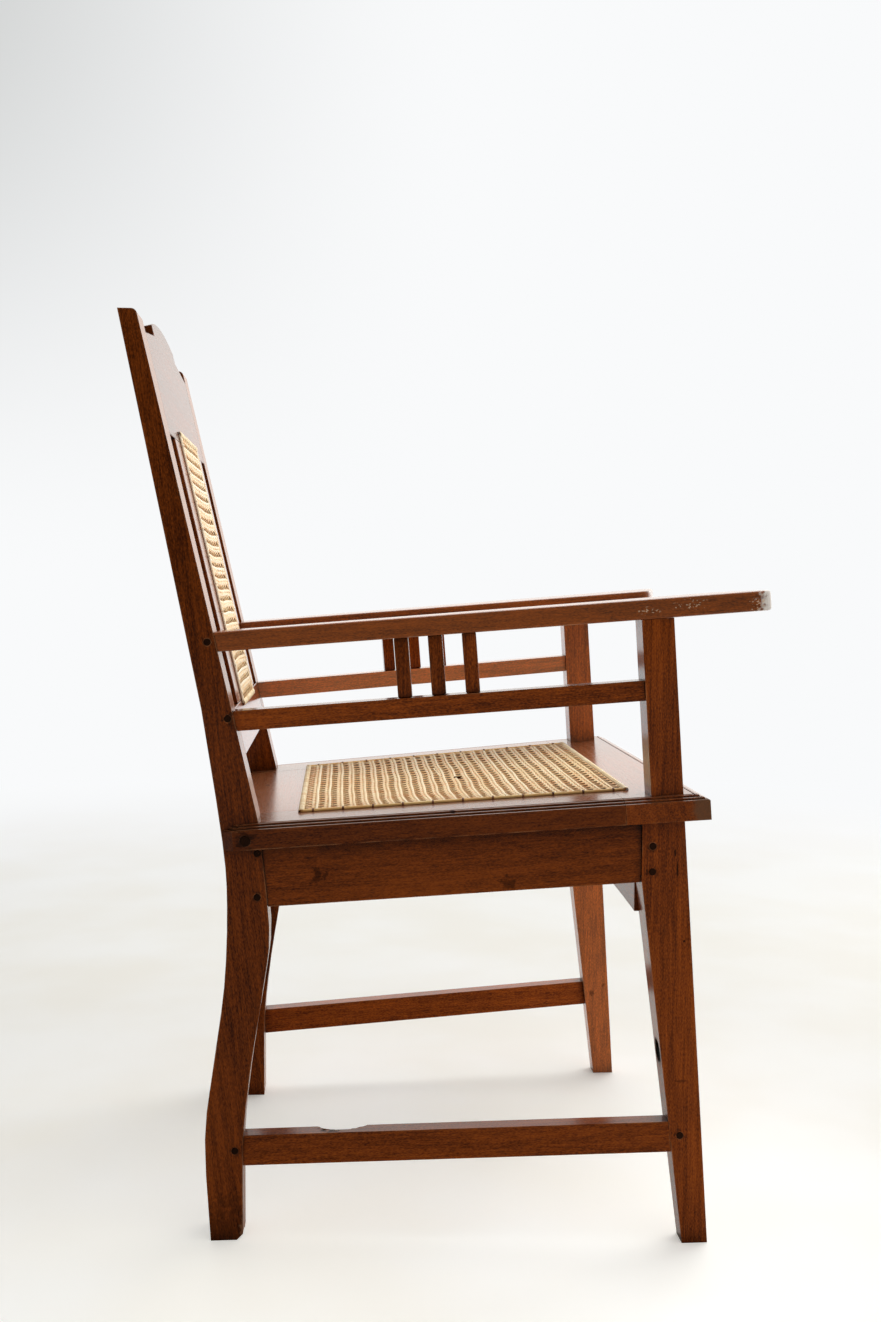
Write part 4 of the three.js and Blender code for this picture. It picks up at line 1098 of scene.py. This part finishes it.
# %% Weave
BAND_LEVEL, BAND_DIP, DIP_NEAR, DIP_FAR = 1.5, 1.2, 1.0, 3.5
UNDER_LEVEL = 0.85
OVER, MIDDLE, UNDER = 1.75, 1.2, 1.0
HIGH_DIAGONAL, LOW_DIAGONAL = (2.0, 0.4), (1.0, 1.75)
ACROSS_BANDS, ACROSS_RUNGS = (0, 1, 0), (1, 0, 0)
BAND_THICK, RUNG_THICK, DIAGONAL_THICK = 0.55, 0.45, 0.4
# The bands' finish, how full the rungs and diagonals are, and widths of bands, rungs and diagonals
SEAT_WEAVE, BACK_WEAVE = ("pale", 1.0, (2.8, 2.9, 2.4)), ("cream", 0.7, (3.6, 2.9, 3.4))
# How far a strand drifts at random, and the height and pace of its waves
BAND_DRIFT, RUNG_DRIFT = (0.16, 0.22, 0.045), (0.2, 0.25, 0.04)
RUNG_STEP, DIAGONAL_STEP = 1.7, 0.125


def drift(chance, along, amounts):
    shift, height, pace = amounts
    return chance.normal(0, shift) + height * np.sin(along * pace + chance.uniform(0, 6))


def pairs(cut, middles, half, run, levels, amounts, crosswise, seed):
    """Two strands for each middle, the first on the low side, the second on the high side."""
    chance = np.random.default_rng(seed)
    paths = []
    for middle in middles:
        for side, level in zip((-1, 1), levels):
            offset = middle + side * half + drift(chance, run, amounts)
            paths += cut(run, offset, level) if crosswise else cut(offset, run, level)
    return paths


def band_paths(cut, bands, rungs, widest, seed):
    """The first of each pair dips under the rungs' climbing strands."""
    x = np.arange(-widest, widest, RUNG_PITCH / 6)
    nearest = np.abs(x[:, None] - (rungs + RUNG_HALF)[None]).min(1)
    dipping = np.interp(nearest, (DIP_NEAR, DIP_FAR), (BAND_DIP, BAND_LEVEL))
    return pairs(cut, bands, BAND_HALF, x, (dipping, BAND_LEVEL + 0 * x), BAND_DRIFT, True, seed)


def rung_paths(cut, bands, rungs, ends, seed):
    """The second of each pair climbs over one band and dives under the next."""
    y = np.arange(*ends, RUNG_STEP)
    stations = np.stack([bands - BAND_HALF, bands + BAND_HALF, bands + BAND_PITCH / 2], 1).ravel()
    climbing = np.interp(y, stations, np.tile([OVER, UNDER, MIDDLE], len(bands)))
    return pairs(cut, rungs, RUNG_HALF, y, (UNDER_LEVEL + 0 * y, climbing), RUNG_DRIFT, False, seed)


def diagonal_paths(cut, bands, rungs, way, levels):
    """Each runs midway between crossings: over a pair of one kind, under a pair of the other."""
    paths = []
    step = np.arange(-1, len(rungs) + 1, DIAGONAL_STEP)
    over, under = levels
    middle = (over + under) / 2
    height = np.interp(step % 1, (0, 0.25, 0.5, 0.75, 1), (under, middle, over, middle, under))
    for start in range(-len(rungs) - 2, len(rungs) + len(bands) + 2):
        x = rungs[0] + step * RUNG_PITCH
        y = bands[0] + (way * (step - 0.5) + start) * BAND_PITCH
        paths += cut(x, y, height)
    return paths


def weave(sheet, name, look, seed, damage=None):
    finish, fullness, (band_width, rung_width, diagonal_width) = look
    widest = max(sheet.half_at(end) for end in sheet.ends)
    bands = pair_places(*sheet.ends, BAND_PITCH, BAND_BORDER)
    rungs = pair_places(-widest, widest, RUNG_PITCH, RUNG_BORDER)

    def cut(x, y, h):
        return runs_inside(sheet, x, y, h, seed, damage)
    top = ribbon_piece(name + "_bands", sheet, band_paths(cut, bands, rungs, widest, seed),
                       ACROSS_BANDS, band_width, BAND_THICK, cane[finish], seed)
    ribbon_piece(name + "_rungs", sheet, rung_paths(cut, bands, rungs, sheet.ends, seed),
                 ACROSS_RUNGS, rung_width, RUNG_THICK * fullness, cane["stitch"], seed + 1)
    reach = math.hypot(RUNG_PITCH, BAND_PITCH)
    for way, levels, hand in ((1, HIGH_DIAGONAL, "right"), (-1, LOW_DIAGONAL, "left")):
        across = (-way * BAND_PITCH / reach, RUNG_PITCH / reach, 0)
        ribbon_piece(name + "_diagonals_" + hand, sheet, diagonal_paths(cut, bands, rungs, way, levels),
                     across, diagonal_width, DIAGONAL_THICK * fullness, cane["stitch"], seed + 2)
    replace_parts(top, name)


weave(seat, "seat_cane", SEAT_WEAVE, 11, DAMAGE)
weave(back, "back_cane", BACK_WEAVE, 31)

# %% [markdown]
# ## A loose strand
# One broken strand stands up beside the hole, out of the seat's plane.

# %% Loose strand
LOOSE_STRAND = np.array([
    (24, 192.0, 2.6), (36, 191.2, 3.2), (48, 190.0, 4.2), (58, 188.6, 5.4), (66, 187.0, 6.8)])
LOOSE_WIDTH, LOOSE_THICK = 2.0, 0.6
ribbon_piece("seat_cane_loose_strand", seat, [LOOSE_STRAND], ACROSS_BANDS, LOOSE_WIDTH, LOOSE_THICK,
             cane["pale"], 3)

# %% [markdown]
# ## The binding
# A strip of cane covers the row of holes that the strands go down through, all round the sheet.
# It is golden on the seat and cream on the back. It runs close to the sheet's edge and turns each
# corner in a small bow.

# %% Binding strip
BIND_INSET, BIND_WIDTH, BIND_THICK, BIND_LEVEL = 3.0, 4.8, 2.4, 1.5
BIND_TOP = BIND_LEVEL + BIND_THICK / 2
BIND_TONE = 0.4
BIND_SECTION = ((-0.5, -0.5), (0.5, -0.5), (0.46, -0.1), (0.34, 0.25), (0.14, 0.47), (-0.14, 0.47),
                (-0.34, 0.25), (-0.46, -0.1))
CORNER_ROUND, CORNER_POINTS, BIND_STEP = 4.0, 6, 8.0


def outline(sheet, inset):
    low, high = sheet.ends[0] + inset, sheet.ends[1] - inset
    corners = [(-(sheet.half_at(low) - inset), low), (sheet.half_at(low) - inset, low),
               (sheet.half_at(high) - inset, high), (-(sheet.half_at(high) - inset), high)]
    return [np.array(corner) for corner in corners]


def binding_path(sheet):
    corners = outline(sheet, BIND_INSET)
    points = []
    for index, corner in enumerate(corners):
        before, after = corners[index - 1], corners[(index + 1) % 4]
        back_way = (before - corner) / np.linalg.norm(before - corner)
        on_way = (after - corner) / np.linalg.norm(after - corner)
        a, b = corner + back_way * CORNER_ROUND, corner + on_way * CORNER_ROUND
        for share in np.linspace(0, 1, CORNER_POINTS):
            points.append((1 - share) ** 2 * a + 2 * share * (1 - share) * corner + share ** 2 * b)
        run = np.linalg.norm(after - corner) - 2 * CORNER_ROUND
        for share in np.arange(1, int(run // BIND_STEP)) / int(run // BIND_STEP):
            points.append(corner + on_way * (CORNER_ROUND + share * run))
    return np.array(points)


def binding(sheet, name, node, finish):
    """The strip, shaded along the two ends, where close loops cover it."""
    path = binding_path(sheet)
    ahead = np.roll(path, -1, axis=0) - np.roll(path, 1, axis=0)
    ahead /= np.linalg.norm(ahead, axis=1)[:, None]
    inward = np.stack([-ahead[:, 1], ahead[:, 0]], 1)
    corners = []
    for wide, tall in BIND_SECTION:
        flat = path + inward * wide * BIND_WIDTH
        corners.append(sheet.place(flat[:, 0], flat[:, 1], BIND_LEVEL + tall * BIND_THICK))
    count, size = len(BIND_SECTION), len(path)
    rings = np.arange(size)[:, None] * count
    faces = skin(rings, np.roll(rings, -1, axis=0), count)
    run = np.repeat(np.arange(size) * BIND_STEP * MM, count)
    reach = np.minimum(path[:, 1] - sheet.ends[0], sheet.ends[1] - path[:, 1])
    looped = np.repeat((reach < BIND_INSET + 1).astype(float), count)
    strand = np.stack([run, run * 0 + BIND_TONE, looped], 1)
    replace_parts(cane_piece(name, np.stack(corners, 1).reshape(-1, 3), faces, strand, finish), node)


print("the seat's strip bends at", len(binding_path(seat)), "points")

# %% [markdown]
# ## Loops and ties
# Along the two ends pale loops lie close together and cover most of the strip, with dark gaps
# between them. Along the two sides short ties hold it down every 30 mm. They are brown with age on
# the seat and cream on the back. Each sheet gets its strip first, then its loops and its ties.

# %% Loops and ties
END_EDGES, SIDE_EDGES = (0, 2), (1, 3)
# Their pitch, reach inward, width and thickness
LOOPS, TIES = (RUNG_PITCH / 2, 6.4, 6.2, 1.2), (30.0, 6.0, 2.2, 0.7)


def loop_shape(reach):
    """How far in from the sheet's edge each point lies, and how far above the strip's top."""
    return ((0.0, -2.2), (0.4, -0.5), (BIND_INSET, 0.3), (reach - 0.6, -0.4), (reach, -1.6))


def tie_paths(sheet, pitch, edges, reach):
    corners = outline(sheet, 0.0)
    paths = []
    for index in edges:
        corner, after = corners[index], corners[(index + 1) % 4]
        length = np.linalg.norm(after - corner)
        way = (after - corner) / length
        inward = np.array([-way[1], way[0]])
        count = int(length // pitch)
        for share in (np.arange(count) + 0.5) / count:
            middle = corner + way * length * share
            flat = np.array([middle + inward * inset for inset, _ in loop_shape(reach)])
            heights = np.array([BIND_TOP + rise for _, rise in loop_shape(reach)])
            paths.append(np.column_stack([flat, heights]))
    return paths


def tie_down(name, sheet, sizes, edges, across, finish, seed):
    pitch, reach, width, thick = sizes
    paths = tie_paths(sheet, pitch, edges, reach)
    ribbon_piece(name, sheet, paths, across, width, thick, cane[finish], seed)


for sheet, name, seed, (strip, tie) in ((seat, "seat_cane", 5, ("gold", "tie")),
                                        (back, "back_cane", 6, ("cream", "cream"))):
    binding(sheet, name + "_edge", name + "_binding", cane[strip])
    tie_down(name + "_loops", sheet, LOOPS, END_EDGES, ACROSS_RUNGS, "pale", seed)
    tie_down(name + "_ties", sheet, TIES, SIDE_EDGES, ACROSS_BANDS, tie, seed)
